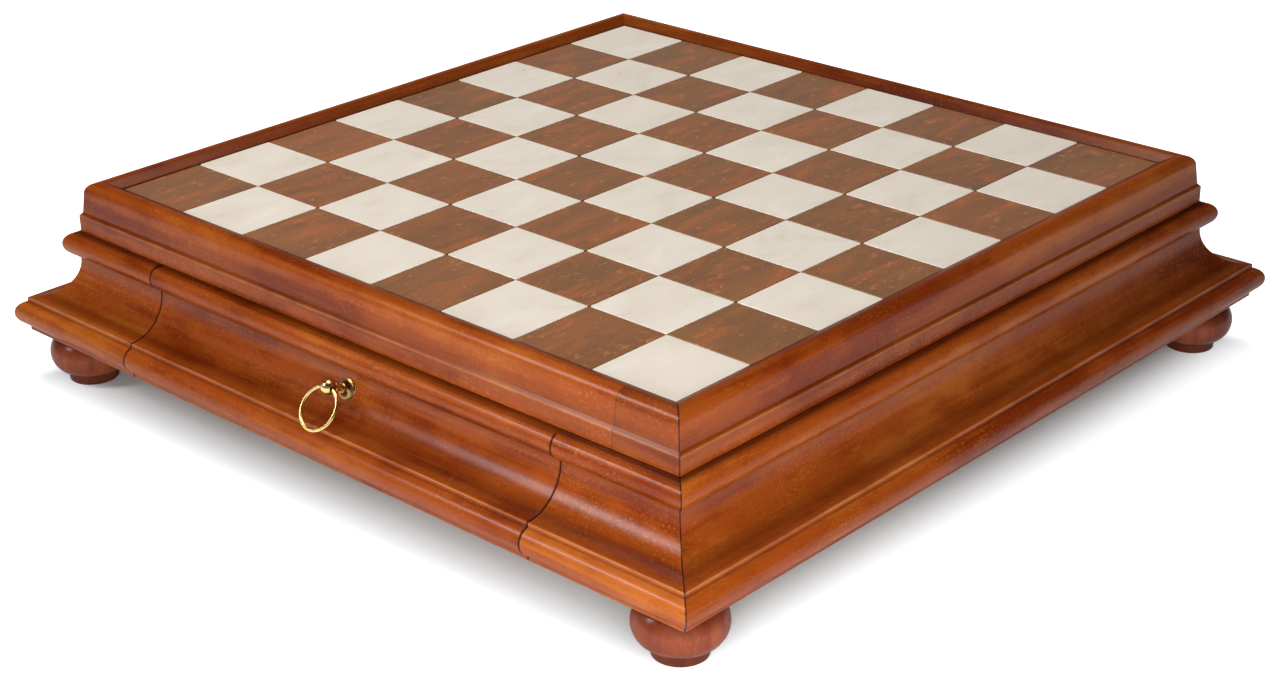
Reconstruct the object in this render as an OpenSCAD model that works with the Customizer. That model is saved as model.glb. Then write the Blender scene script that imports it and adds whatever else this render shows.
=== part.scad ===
// Chess box: a stone chessboard set in a mitred top frame, over a moulded base
// that holds two drawers back to back, on four turned feet.
// Origin on the floor under the middle of the box, +Z up. The front drawer opens
// towards -Y and the back drawer towards +Y. All sizes are in millimetres.

/* [Playing board] */
// Side of one square
square_w = 38; // [30:0.5:56]
// Stone left outside the outer squares, up to the frame
edge_strip = 1.2; // [0:0.1:4]
// Thickness of the stone tiles
tile_t = 5; // [3:0.5:10]
// Width of the joint between two tiles
tile_joint = 0.3; // [0.2:0.05:1]
// Thickness of the board that the tiles lie on
panel_t = 9; // [6:0.5:15]

/* [Top frame] */
// Gap between the stone and the frame
lip_gap = 0.3; // [0.2:0.1:1]
// Height of the frame's inner edge over the stone
lip_step = 0.3; // [0:0.1:0.8]
// Height of the frame's crest over the stone
lip_rise = 3.2; // [2.4:0.1:4.5]
// Slope of the inner bevel, in degrees
bevel_angle = 27.5; // [20:0.5:35]
// Radius of the outer shoulder
shoulder_r = 4.75; // [3:0.25:6]
// How far the outer face leans out towards its foot
face_batter = 0.85; // [0:0.05:2]
// Drop from the crest to the small ledge on the outer face
ledge_drop = 12.9; // [8:0.1:16]
// Width of the ledge
ledge_w = 1.2; // [0.4:0.1:3]
// Height of the ledge's bevel
ledge_h = 1.3; // [0.4:0.1:3]
// Width of the seat under the board
seat_w = 8; // [4:0.5:16]
// Thickness of the seat under the board
seat_t = 4.2; // [3:0.1:8]
// Distance of the scarf joint in the front rail from the frame's corner
splice_in = 30.5; // [15:0.5:100]

/* [Base moulding] */
// Wood behind the neck, at its thinnest
moulding_t = 11; // [9:0.5:16]
// How far the neck stands out from the frame
neck_step = 0.9; // [0:0.1:4]
// Plain strip over the upper bead
top_fillet = 0.3; // [0:0.1:3]
// Height of the upper bead
bead_h = 10.4; // [8:0.1:14]
// How far the upper bead stands out
bead_out = 5.1; // [2:0.1:5.2]
// Height of the neck between the upper bead and the cove
neck_h = 1.2; // [0.4:0.1:5]
// Radius of the cove
cove_r = 17.3; // [12:0.1:24]
// Plain strip between the cove and the lower bead
cove_fillet = 1.8; // [0.6:0.1:5]
// Height of the lower bead
base_bead_h = 10.8; // [8:0.1:14]
// How far the lower bead stands out
base_bead_out = 4.4; // [2:0.1:5.2]
// Plain strip under the lower bead
base_fillet = 2.4; // [1:0.1:6]

/* [Carcase] */
// Thickness of the bottom panel
bottom_t = 4; // [3:0.5:6]
// Width of the rebate that the bottom panel lies in
rebate_w = 8; // [6:0.5:10]
// Thickness of the runners beside the drawers
runner_t = 8; // [5:0.5:16]
// Thickness of the wall between the two drawers
centre_t = 6; // [4:0.5:12]

/* [Drawers] */
// Width of the drawer openings
drawer_w = 226; // [150:1:250]
// Gap on each side of a drawer
side_gap = 0.5; // [0.3:0.1:1.5]
// Gap over a drawer
top_gap = 1.1; // [0.5:0.1:3]
// Gap under a drawer
bottom_gap = 0.6; // [0.3:0.1:1.5]
// Gap behind a closed drawer
back_gap = 1.5; // [0.5:0.1:5]
// Thickness of a drawer's sides
wall_t = 7; // [5:0.5:10]
// Thickness of a drawer's back
back_t = 6; // [5:0.5:10]
// Thickness of a drawer's floor
floor_t = 3; // [2:0.5:5]
// Depth of the groove that holds the floor
groove_d = 3; // [2:0.5:4]
// Height of the floor over the lower edge of the sides
groove_up = 2.5; // [1.5:0.1:5]
// Thickness of the felt on the floor
felt_t = 0.8; // [0.5:0.1:2]
// Thickness of the dividers
divider_t = 3; // [2:0.5:6]
// Height of the dividers over the felt
divider_h = 24; // [14:0.5:28]

/* [Ring pull] */
// Distance of the pull from the middle of its drawer
pull_offset = 2.2; // [-60:0.1:60]
// Upward slope of the post, in degrees
pull_angle = 23; // [10:0.5:40]
// Distance of the ball's centre from the wood
stem_l = 9.9; // [8:0.1:14]
// Radius of the ball
ball_r = 3.05; // [2.6:0.05:4]
// Radius of the post
post_r = 1.3; // [1:0.05:1.6]
// Length of the post's screw in the wood
post_screw_l = 9; // [5:0.5:10]
// Radius of the rosette
rosette_r = 4.3; // [3.8:0.1:6]
// Thickness of the rosette's rim
rosette_t = 0.8; // [0.5:0.1:1.5]
// Radius of the rosette's hollow flare
rosette_flare = 2.4; // [1.2:0.1:2.8]
// Radius of the ring, at the middle of its wire
ring_r = 8.65; // [7:0.05:11]
// Radius of the ring's wire
wire_r = 0.75; // [0.5:0.05:0.9]
// Play between the ring and the hole in the ball
ring_play = 0.15; // [0.1:0.05:0.3]
// Angle at which the ring stands out from the vertical
ring_tilt = 38; // [30:1:80]

/* [Feet] */
// Height of a foot
foot_h = 22.2; // [20:0.1:40]
// Radius of a foot at its widest
foot_r = 17.3; // [14:0.1:20]
// Radius of the curve of a foot's side
bulb_r = 9.1; // [8:0.1:11]
// Height of the widest place over the floor
bulb_up = 12.9; // [12:0.1:16]
// Radius of the disc that a foot stands on
foot_disc_r = 10.4; // [8:0.1:13]
// Thickness of that disc
foot_disc_h = 4; // [2:0.1:6]
// Distance of a foot's centre from the lower edge of the base
foot_inset = 17.3; // [14:0.1:22]

/* [Screws] */
// Radius of a foot screw
foot_screw_r = 2; // [1.5:0.1:2.5]
// Radius of a foot screw's head
foot_head_r = 4; // [3:0.1:5]
// Height of a foot screw's head
foot_head_h = 2.6; // [1.5:0.1:3.5]
// Depth of the hole that hides the head
foot_recess = 6; // [4:0.5:9]
// Length of a foot screw in the moulding
foot_bite = 16; // [10:0.5:18]
// Radius of a panel screw
panel_screw_r = 1.5; // [1:0.1:1.8]
// Radius of a panel screw's head
panel_head_r = 2.9; // [2.2:0.1:3]
// Length of a panel screw in the moulding
panel_bite = 10; // [6:0.5:12]
// Distance between the panel screws along a side
panel_screw_gap = 110; // [60:1:120]
// Distance of the corner panel screws from the drawer opening
panel_screw_in = 14; // [8:0.5:16]

/* [Hidden] */
$fn = 96;

// Facets on the small round parts
SMALL_FN = 48;
// Squares on one side of the board, and half of them
SQUARES = 8;
HALF_SQUARES = SQUARES / 2;
// Compartments side by side in a drawer, with a cross divider between each two
BAYS = 4;
// Cuts run this far past the faces that they open
CUT = 1;
// Turns a drawing made for the +Y side to the other sides
QUARTER = 360 / 4;
FRONT = 2 * QUARTER;
RIGHT = -QUARTER;
BACK = 0;
LEFT = QUARTER;

// Half width of the stone field, and of the frame's inner edge
field = HALF_SQUARES * square_w + edge_strip;
lip_in = field + lip_gap;

// Heights over the floor
moulding_z = foot_h;
base_h = base_fillet + base_bead_h + cove_fillet + cove_r + neck_h + bead_h + top_fillet;
rail_z = moulding_z + base_h;
seat_z = rail_z + seat_t;
tile_z = seat_z + panel_t;
stone_z = tile_z + tile_t;
crest_z = stone_z + lip_rise;
shoulder_z = crest_z - shoulder_r;
ledge_z = crest_z - ledge_drop;

// Distances from the middle of the box, going outwards
bevel_rise = lip_rise - lip_step - shoulder_r * (1 - cos(bevel_angle));
bevel_out = lip_in + bevel_rise / tan(bevel_angle);
crest = bevel_out + shoulder_r * sin(bevel_angle);
face_top = crest + shoulder_r;
face_foot = face_top + face_batter;
fascia = face_foot + ledge_w;
splice_x = fascia - splice_in;
neck = fascia + neck_step;
inside = neck - moulding_t;
base_edge = neck + cove_r;
far_out = base_edge + base_bead_out + CUT;

// Heights on the base moulding
cove_z = moulding_z + base_fillet + base_bead_h + cove_fillet + cove_r;
bead_z = cove_z + neck_h + bead_h / 2;
base_bead_z = moulding_z + base_fillet + base_bead_h / 2;

// Places of the feet and the screws
foot_at = base_edge - foot_inset;
foot_play = 0.2;
screw_tip = 3;
slot_w = 0.9;
slot_d = 1.1;
slot_share = 0.6;
rebate_mid = inside + rebate_w / 2;
side_screws = [for (side = [-1, 1]) for (k = [-1, 0, 1]) [side * rebate_mid, k * panel_screw_gap]];
corner_screw_x = drawer_w / 2 + panel_screw_in;
corner_screws = [for (sx = [-1, 1]) for (sy = [-1, 1]) [sx * corner_screw_x, sy * rebate_mid]];
feet = [for (sx = [-1, 1]) for (sy = [-1, 1]) [sx * foot_at, sy * foot_at]];

// A drawer, drawn for the +Y side
body_w = drawer_w - 2 * side_gap;
inner_w = body_w - 2 * wall_t;
drawer_z = moulding_z + bottom_t + bottom_gap;
drawer_top = rail_z - top_gap;
drawer_rear = centre_t / 2 + back_gap;
inner_rear = drawer_rear + back_t;
inner_d = inside - inner_rear;
floor_z = drawer_z + groove_up;
felt_z = floor_z + floor_t;
divider_z = felt_z + felt_t;
cross_pitch = (inner_w + divider_t) / BAYS;

// A ring pull, drawn for the +Y side
pull_y = base_edge - cove_r * cos(pull_angle);
pull_z = cove_z - cove_r * sin(pull_angle);
ball_y = pull_y + stem_l * cos(pull_angle);
ball_z = pull_z + stem_l * sin(pull_angle);
ring_drop = ring_r - sqrt(ring_r * ring_r - ball_r * ball_r);
ball_bore_r = wire_r + ring_drop + ring_play;
rosette_play = 0.05;
post_tip = 2.5;
collar_r = 2.1;
collar_h = 0.9;

// Draws along X, from x0 to x1, an outline given as distance from the middle and height
module along_x(x0, x1) {
    translate([x0, 0, 0]) rotate([90, 0, 90]) linear_extrude(height = x1 - x0) children();
}

// Keeps what lies between the two mitres of the +Y side
module between_mitres() {
    intersection() {
        children();
        linear_extrude(height = crest_z + CUT)
            polygon([[0, 0], [far_out, far_out], [-far_out, far_out]]);
    }
}

// Outline of a top rail
module rail_outline() {
    polygon([
        [lip_in - seat_w, rail_z], [fascia, rail_z], [fascia, ledge_z - ledge_h],
        [face_foot, ledge_z], [face_top, shoulder_z], [crest, shoulder_z],
        [bevel_out, shoulder_z + shoulder_r * cos(bevel_angle)],
        [lip_in, stone_z + lip_step], [lip_in, seat_z], [lip_in - seat_w, seat_z]
    ]);
    translate([crest, shoulder_z]) circle(r = shoulder_r);
}

// A half-round bead of height h that stands out by out from the face at distance at
module bead(at, h, out) {
    r = (h * h / 4 + out * out) / (2 * out);
    translate([at + out - r, 0]) circle(r = r);
}

// Outline of the base moulding
module moulding_outline() {
    difference() {
        union() {
            translate([inside, moulding_z]) square([base_edge - inside, cove_z - moulding_z]);
            translate([0, base_bead_z]) bead(base_edge, base_bead_h, base_bead_out);
        }
        translate([base_edge, cove_z]) circle(r = cove_r);
    }
    translate([inside, moulding_z]) square([neck - inside, base_h]);
    translate([0, bead_z]) bead(neck, bead_h, bead_out);
}

// Rebate along the lower inner edge of the moulding, with play around the panel
module rebate(play) {
    translate([inside - CUT, moulding_z - CUT])
        square([rebate_w + play + CUT, bottom_t + play + CUT]);
}

module foot_pilots() {
    for (p = feet) translate([p[0], p[1], moulding_z - CUT])
        cylinder(r = foot_screw_r, h = foot_bite + CUT, $fn = SMALL_FN);
}

module panel_pilots() {
    for (p = concat(side_screws, corner_screws)) translate([p[0], p[1], moulding_z - CUT])
        cylinder(r = panel_screw_r, h = bottom_t + panel_bite + CUT, $fn = SMALL_FN);
}

// A rail of the top frame on one side, from x0 to x1 as seen on the +Y side
module top_rail(turn, x0, x1) {
    color([0.58, 0.29, 0.14]) rotate([0, 0, turn]) between_mitres()
        along_x(x0, x1) rail_outline();
}

// A length of base moulding on one side, from x0 to x1 as seen on the +Y side
module base_moulding(turn, x0, x1) {
    color([0.55, 0.26, 0.12]) difference() {
        rotate([0, 0, turn]) between_mitres() along_x(x0, x1) difference() {
            moulding_outline();
            rebate(0);
        }
        foot_pilots();
        panel_pilots();
    }
}

module board_panel() {
    color([0.78, 0.62, 0.42]) translate([-field, -field, seat_z])
        cube([2 * field, 2 * field, panel_t]);
}

// Edge number k of the tiles along one side, on the side s of its joint
function tile_edge(k, s) = k == 0 ? -field
    : k == SQUARES ? field
    : (k - HALF_SQUARES) * square_w + s * tile_joint / 2;

// The tiles whose column and row numbers add up to an even (0) or odd (1) number
module tiles(odd) {
    for (i = [0 : SQUARES - 1]) for (j = [0 : SQUARES - 1]) if ((i + j) % 2 == odd)
        translate([tile_edge(i, 1), tile_edge(j, 1), tile_z])
            cube([tile_edge(i + 1, -1) - tile_edge(i, 1),
                  tile_edge(j + 1, -1) - tile_edge(j, 1), tile_t]);
}

module bottom_panel() {
    half = inside + rebate_w;
    color([0.72, 0.55, 0.36]) difference() {
        translate([-half, -half, moulding_z]) cube([2 * half, 2 * half, bottom_t]);
        foot_pilots();
        panel_pilots();
        for (p = concat(side_screws, corner_screws)) translate([p[0], p[1], moulding_z])
            panel_head();
    }
}

// Room for the countersunk head of a panel screw
module panel_head() {
    cylinder(r1 = panel_head_r, r2 = panel_screw_r, h = panel_head_r - panel_screw_r, $fn = SMALL_FN);
}

// A runner that guides both drawers, on the side s of the box
module runner(s) {
    mid = drawer_w / 2 + runner_t / 2;
    color([0.70, 0.50, 0.32]) translate([s * mid - runner_t / 2, -inside, moulding_z + bottom_t])
        cube([runner_t, 2 * inside, rail_z - moulding_z - bottom_t]);
}

module centre_wall() {
    color([0.70, 0.50, 0.32]) translate([-drawer_w / 2, -centre_t / 2, moulding_z + bottom_t])
        cube([drawer_w, centre_t, seat_z - moulding_z - bottom_t]);
}

module foot(sx, sy) {
    color([0.42, 0.17, 0.09]) translate([sx * foot_at, sy * foot_at, 0]) difference() {
        rotate_extrude() {
            intersection() {
                translate([foot_r - bulb_r, bulb_up]) circle(r = bulb_r);
                square([foot_r + CUT, foot_h]);
            }
            translate([0, foot_disc_h / 2]) square([foot_r - bulb_r, foot_h - foot_disc_h / 2]);
            square([foot_disc_r, foot_disc_h]);
        }
        translate([0, 0, -CUT]) cylinder(r = foot_screw_r + foot_play, h = foot_h + 2 * CUT);
        translate([0, 0, -CUT]) cylinder(r = foot_head_r + foot_play, h = foot_recess + CUT);
    }
}

// Crossed slots in the head of a screw whose lower face is at height 0, with radius r
module cross_slots(r) {
    for (turn = [0, 90]) rotate([0, 0, turn])
        translate([-r * slot_share, -slot_w / 2, -CUT])
            cube([2 * r * slot_share, slot_w, slot_d + CUT]);
}

module foot_screws() {
    color([0.75, 0.75, 0.77]) for (p = feet) translate([p[0], p[1], foot_recess]) difference() {
        union() {
            translate([0, 0, -foot_head_h]) cylinder(r = foot_head_r, h = foot_head_h, $fn = SMALL_FN);
            cylinder(r = foot_screw_r, h = foot_h - foot_recess + foot_bite - screw_tip, $fn = SMALL_FN);
            translate([0, 0, foot_h - foot_recess + foot_bite - screw_tip])
                cylinder(r1 = foot_screw_r, r2 = 0, h = screw_tip, $fn = SMALL_FN);
        }
        translate([0, 0, -foot_head_h]) cross_slots(foot_head_r);
    }
}

module panel_screws() {
    color([0.75, 0.75, 0.77]) for (p = concat(side_screws, corner_screws))
        translate([p[0], p[1], moulding_z]) difference() {
            union() {
                panel_head();
                cylinder(r = panel_screw_r, h = bottom_t + panel_bite - screw_tip, $fn = SMALL_FN);
                translate([0, 0, bottom_t + panel_bite - screw_tip])
                    cylinder(r1 = panel_screw_r, r2 = 0, h = screw_tip, $fn = SMALL_FN);
            }
            cross_slots(panel_head_r);
        }
}

// Puts a part that is turned about Z on the axis of the pull, with the wood at height 0
module on_pull_axis() {
    translate([-pull_offset, pull_y, pull_z]) rotate([pull_angle - 90, 0, 0]) children();
}

module drawer_front(turn) {
    color([0.56, 0.27, 0.12]) rotate([0, 0, turn]) difference() {
        along_x(-body_w / 2, body_w / 2) difference() {
            moulding_outline();
            rebate(bottom_gap);
            translate([inside - CUT, drawer_top]) square([far_out - inside, top_gap + CUT]);
            translate([inside - CUT, floor_z]) square([groove_d + CUT, floor_t]);
        }
        on_pull_axis() cylinder(r = rosette_r + rosette_play, h = rosette_flare + rosette_t);
        on_pull_axis() translate([0, 0, -post_screw_l])
            cylinder(r = post_r, h = post_screw_l + CUT, $fn = SMALL_FN);
    }
}

// The side of a drawer at +X (s = 1) or -X (s = -1), as seen on the +Y side
module drawer_side(turn, s) {
    color([0.80, 0.62, 0.42]) rotate([0, 0, turn]) difference() {
        translate([s * (body_w - wall_t) / 2 - wall_t / 2, drawer_rear, drawer_z])
            cube([wall_t, inside - drawer_rear, drawer_top - drawer_z]);
        translate([-inner_w / 2 - groove_d, inner_rear - groove_d, floor_z])
            cube([inner_w + 2 * groove_d, inside - inner_rear + groove_d + CUT, floor_t]);
    }
}

module drawer_back(turn) {
    color([0.80, 0.62, 0.42]) rotate([0, 0, turn]) difference() {
        translate([-inner_w / 2, drawer_rear, drawer_z])
            cube([inner_w, back_t, drawer_top - drawer_z]);
        translate([-inner_w / 2 - CUT, inner_rear - groove_d, floor_z])
            cube([inner_w + 2 * CUT, groove_d + CUT, floor_t]);
    }
}

module drawer_floor(turn) {
    color([0.78, 0.60, 0.40]) rotate([0, 0, turn])
        translate([-inner_w / 2 - groove_d, inner_rear - groove_d, floor_z])
            cube([inner_w + 2 * groove_d, inner_d + 2 * groove_d, floor_t]);
}

module drawer_felt(turn) {
    color([0.05, 0.25, 0.14]) rotate([0, 0, turn])
        translate([-inner_w / 2, inner_rear, felt_z]) cube([inner_w, inner_d, felt_t]);
}

// Distance of cross divider number k, 1 to 3, from the middle
function cross_x(k) = (k - BAYS / 2) * cross_pitch;

// The long divider and the cross dividers are halved where they meet
module long_divider(turn) {
    color([0.74, 0.56, 0.37]) rotate([0, 0, turn]) difference() {
        translate([-inner_w / 2, inner_rear + (inner_d - divider_t) / 2, divider_z])
            cube([inner_w, divider_t, divider_h]);
        for (k = [1 : BAYS - 1])
            translate([cross_x(k) - divider_t / 2, inner_rear, divider_z + divider_h / 2])
                cube([divider_t, inner_d, divider_h]);
    }
}

module cross_divider(turn, k) {
    color([0.74, 0.56, 0.37]) rotate([0, 0, turn]) difference() {
        translate([cross_x(k) - divider_t / 2, inner_rear, divider_z])
            cube([divider_t, inner_d, divider_h]);
        translate([-inner_w / 2, inner_rear + (inner_d - divider_t) / 2, divider_z - CUT])
            cube([inner_w, divider_t, divider_h / 2 + CUT]);
    }
}

module pull_rosette(turn) {
    color([0.86, 0.68, 0.33]) rotate([0, 0, turn]) on_pull_axis() difference() {
        rotate_extrude() {
            square([rosette_r, rosette_t]);
            difference() {
                square([rosette_r, rosette_t + rosette_flare]);
                translate([rosette_r, rosette_t + rosette_flare]) circle(r = rosette_flare, $fn = SMALL_FN);
            }
        }
        translate([0, 0, -CUT]) cylinder(r = post_r, h = stem_l, $fn = SMALL_FN);
    }
}

module pull_post(turn) {
    color([0.86, 0.68, 0.33]) rotate([0, 0, turn]) on_pull_axis() difference() {
        union() {
            translate([0, 0, stem_l]) sphere(r = ball_r);
            translate([0, 0, post_tip - post_screw_l])
                cylinder(r = post_r, h = stem_l + post_screw_l - post_tip, $fn = SMALL_FN);
            translate([0, 0, -post_screw_l])
                cylinder(r1 = 0, r2 = post_r, h = post_tip, $fn = SMALL_FN);
            translate([0, 0, stem_l - ball_r - collar_h / 2])
                cylinder(r = collar_r, h = collar_h, $fn = SMALL_FN);
        }
        translate([-ball_r - CUT, 0, stem_l]) rotate([0, 90, 0])
            cylinder(r = ball_bore_r, h = 2 * (ball_r + CUT), $fn = SMALL_FN);
    }
}

module pull_ring(turn) {
    color([0.88, 0.70, 0.35]) rotate([0, 0, turn])
        translate([-pull_offset, ball_y + ring_r * sin(ring_tilt), ball_z - ring_r * cos(ring_tilt)])
            rotate([ring_tilt - 90, 0, 0]) rotate_extrude()
                translate([ring_r, 0]) circle(r = wire_r, $fn = SMALL_FN);
}

top_rail(FRONT, -splice_x, far_out);  // top_rail_front
top_rail(FRONT, -far_out, -splice_x);  // top_rail_front_end
top_rail(RIGHT, -far_out, far_out);  // top_rail_right
top_rail(BACK, -far_out, far_out);  // top_rail_back
top_rail(LEFT, -far_out, far_out);  // top_rail_left
board_panel();
color([0.92, 0.88, 0.80]) tiles(1);  // white_tiles
color([0.50, 0.33, 0.25]) tiles(0);  // brown_tiles
base_moulding(LEFT, -far_out, far_out);  // side_moulding_left
base_moulding(RIGHT, -far_out, far_out);  // side_moulding_right
base_moulding(FRONT, drawer_w / 2, far_out);  // corner_moulding_front_left
base_moulding(FRONT, -far_out, -drawer_w / 2);  // corner_moulding_front_right
base_moulding(BACK, -far_out, -drawer_w / 2);  // corner_moulding_back_left
base_moulding(BACK, drawer_w / 2, far_out);  // corner_moulding_back_right
bottom_panel();
runner(-1);  // runner_left
runner(1);  // runner_right
centre_wall();
foot(-1, -1);  // foot_front_left
foot(1, -1);  // foot_front_right
foot(-1, 1);  // foot_back_left
foot(1, 1);  // foot_back_right
foot_screws();
panel_screws();
drawer_front(FRONT);  // front_drawer_front
drawer_side(FRONT, 1);  // front_drawer_left_side
drawer_side(FRONT, -1);  // front_drawer_right_side
drawer_back(FRONT);  // front_drawer_back
drawer_floor(FRONT);  // front_drawer_floor
drawer_felt(FRONT);  // front_drawer_felt
long_divider(FRONT);  // front_drawer_long_divider
cross_divider(FRONT, 1);  // front_drawer_cross_divider_1
cross_divider(FRONT, 2);  // front_drawer_cross_divider_2
cross_divider(FRONT, 3);  // front_drawer_cross_divider_3
pull_post(FRONT);  // front_pull_post
pull_rosette(FRONT);  // front_pull_rosette
pull_ring(FRONT);  // front_pull_ring
drawer_front(BACK);  // back_drawer_front
drawer_side(BACK, -1);  // back_drawer_left_side
drawer_side(BACK, 1);  // back_drawer_right_side
drawer_back(BACK);  // back_drawer_back
drawer_floor(BACK);  // back_drawer_floor
drawer_felt(BACK);  // back_drawer_felt
long_divider(BACK);  // back_drawer_long_divider
cross_divider(BACK, 1);  // back_drawer_cross_divider_1
cross_divider(BACK, 2);  // back_drawer_cross_divider_2
cross_divider(BACK, 3);  // back_drawer_cross_divider_3
pull_post(BACK);  // back_pull_post
pull_rosette(BACK);  // back_pull_rosette
pull_ring(BACK);  // back_pull_ring
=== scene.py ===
# %% [markdown]
# # A chess box with drawers
#
# The real object is a case of stained and lacquered hardwood with a chessboard of alabaster tiles
# let into its top. A moulded base with a deep cove stands on four turned feet, and two drawers with
# brass ring pulls slide out of it. The fixed frame that is loaded first holds every piece at its
# real size and carries the joints. This lesson dresses it: it remakes the pieces that show with
# soft edges, sets out what repeats with Geometry Nodes, and gives each surface its finish.

# %% Load the frame
import math

import bmesh
import bpy
from mathutils import Matrix, Vector


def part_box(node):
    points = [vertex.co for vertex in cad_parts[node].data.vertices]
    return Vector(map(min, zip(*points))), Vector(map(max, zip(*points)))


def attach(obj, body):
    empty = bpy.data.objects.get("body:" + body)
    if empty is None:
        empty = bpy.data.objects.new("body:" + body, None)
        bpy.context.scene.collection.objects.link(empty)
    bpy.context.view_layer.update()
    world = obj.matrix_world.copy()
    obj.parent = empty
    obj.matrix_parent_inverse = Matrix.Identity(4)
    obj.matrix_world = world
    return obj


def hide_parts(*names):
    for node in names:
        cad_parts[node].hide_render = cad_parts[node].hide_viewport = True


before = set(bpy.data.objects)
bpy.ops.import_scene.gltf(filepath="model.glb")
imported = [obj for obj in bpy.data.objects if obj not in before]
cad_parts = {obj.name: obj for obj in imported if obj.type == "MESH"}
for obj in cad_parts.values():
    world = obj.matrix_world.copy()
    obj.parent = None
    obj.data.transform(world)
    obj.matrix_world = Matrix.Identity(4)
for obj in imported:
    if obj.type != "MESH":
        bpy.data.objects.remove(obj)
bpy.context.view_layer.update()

MM = 0.001

# %% [markdown]
# ## Places to build from
#
# A maker marks out a case from a few lines: the floor, the top of the feet, the underside of the
# frame, the top of the stone. Here the same lines are read off the loaded frame, so every new piece
# lands where the old one was. Only the sizes of the curves are written down again.

# %% Heights and widths
moulding_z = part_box("foot_front_left")[1].z
rail_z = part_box("top_rail_right")[0].z
seat_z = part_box("board_panel")[0].z
tile_z, stone_z = (corner.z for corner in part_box("white_tiles"))
crest_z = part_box("top_rail_right")[1].z
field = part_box("board_panel")[1].x
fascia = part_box("top_rail_right")[1].x
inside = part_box("runner_left")[1].y
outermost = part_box("side_moulding_right")[1].x
drawer_z, drawer_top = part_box("front_drawer_back")[0].z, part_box("front_drawer_front")[1].z
floor_z, felt_z = (corner.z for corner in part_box("front_drawer_floor"))
print(f"frame {fascia * 2 / MM:.1f} mm wide, base {outermost * 2 / MM:.1f} mm, {crest_z / MM:.1f} mm high")

# %% [markdown]
# ## The camera
#
# The box is seen from a little above, past its nearest corner. The camera is placed in polar
# fashion: where it stands, which way it looks and how far it leans. Turning those three angles into
# a matrix by hand keeps the view free of constraints, so other views can move the camera later.

# %% Place the camera
camera_place = Vector((620.7, -678.5, 427.0)) * MM
heading, look_down, lean = math.radians(42.63), math.radians(24.51), math.radians(-0.63)
lens = 65.74

gaze = Vector((-math.sin(heading) * math.cos(look_down), math.cos(heading) * math.cos(look_down),
               -math.sin(look_down)))
level_right = gaze.cross(Vector((0, 0, 1))).normalized()
level_up = level_right.cross(gaze)
right = math.cos(lean) * level_right + math.sin(lean) * level_up
up = right.cross(gaze)
camera_data = bpy.data.cameras.new("camera")
camera_data.lens, camera_data.sensor_width = lens, 36.0
camera_data.clip_start, camera_data.clip_end = 0.05, 60.0
camera = bpy.data.objects.new("camera", camera_data)
bpy.context.scene.collection.objects.link(camera)
camera.matrix_world = Matrix.Translation(camera_place) @ Matrix((right, up, -gaze)).transposed().to_4x4()
bpy.context.scene.camera = camera
print(f"camera {camera_place.length:.2f} m from the middle of the floor under the box")

# %% [markdown]
# ## The studio
#
# The box stands on a sweep of white paper. Two key softboxes stand low, one on each side of the near
# corner, so both sides are brightest there. Gloss doesn't mirror them, or the polished board would
# show them as white patches from behind. A small one on the left draws the soft band along the cove
# of the drawer, and one nearly overhead lights the stone. The room is white near the horizon and
# dark overhead. Paper looks white only where enough light falls on it, so for the rays that see it,
# directly or in the lacquer and the brass, it also glows. The glow fades under the box and close to
# it, where the floor keeps the shadow, and it fades a little off the middle, as the shadow does.

# %% Helpers for the studio
def link(tree, source, target):
    """Joins two sockets."""
    tree.links.new(source, target)


def node(tree, kind, inputs=None, **settings):
    """A new node: settings are its properties, and inputs are sockets to link or values to set."""
    made = tree.nodes.new(kind)
    for name, value in settings.items():
        setattr(made, name, value)
    for name, value in (inputs or {}).items():
        if isinstance(value, bpy.types.NodeSocket):
            link(tree, value, made.inputs[name])
        else:
            made.inputs[name].default_value = value
    return made


def take(tree, kind, inputs=None, **settings):
    """The first output of a new node."""
    return node(tree, kind, inputs, **settings).outputs[0]


def math_node(tree, how, *values):
    """A Math node with its inputs in order."""
    return take(tree, "ShaderNodeMath", dict(enumerate(values)), operation=how)


def times(tree, a, b):
    """One value times the other."""
    return math_node(tree, "MULTIPLY", a, b)


def plus(tree, a, b):
    """Both values together."""
    return math_node(tree, "ADD", a, b)


def minus(tree, a, b):
    """One value less the other."""
    return math_node(tree, "SUBTRACT", a, b)


def larger(tree, a, b):
    """The larger of two values."""
    return math_node(tree, "MAXIMUM", a, b)


def size_of(tree, value):
    """A value without its sign."""
    return math_node(tree, "ABSOLUTE", value)


def above(tree, value, limit):
    """1 where a value is above the limit, and 0 elsewhere."""
    return math_node(tree, "GREATER_THAN", value, limit)


def below(tree, value, limit):
    """1 where a value is below the limit, and 0 elsewhere."""
    return math_node(tree, "LESS_THAN", value, limit)


def apart(tree, vector):
    """The X, Y and Z of a vector."""
    return node(tree, "ShaderNodeSeparateXYZ", {"Vector": vector}).outputs


def level(tree, factor, low, high, out_low=0.0, out_high=1.0):
    """Stretches the part of a factor from low to high, smoothly."""
    return take(tree, "ShaderNodeMapRange", {"Value": factor, "From Min": low, "From Max": high,
                "To Min": out_low, "To Max": out_high}, interpolation_type="SMOOTHSTEP")


def own_place(tree):
    """The object's own coordinates, which are metres here."""
    return node(tree, "ShaderNodeTexCoord").outputs["Object"]


print("helpers for node trees: links, nodes, sums, limits, levels and places")

# %% Floor
def sees_floor(tree):
    """1 for rays from the camera, from gloss or through glass."""
    rays = node(tree, "ShaderNodeLightPath").outputs
    either = larger(tree, rays["Is Camera Ray"], rays["Is Glossy Ray"])
    return larger(tree, either, rays["Is Transmission Ray"])


def from_box(tree):
    """How far a point of the floor lies outside the base, in metres."""
    place = apart(tree, own_place(tree))
    across, along = (size_of(tree, plus(tree, place[axis], shift)) for axis, shift in glow_shift.items())
    return minus(tree, larger(tree, across, along), outermost)


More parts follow.
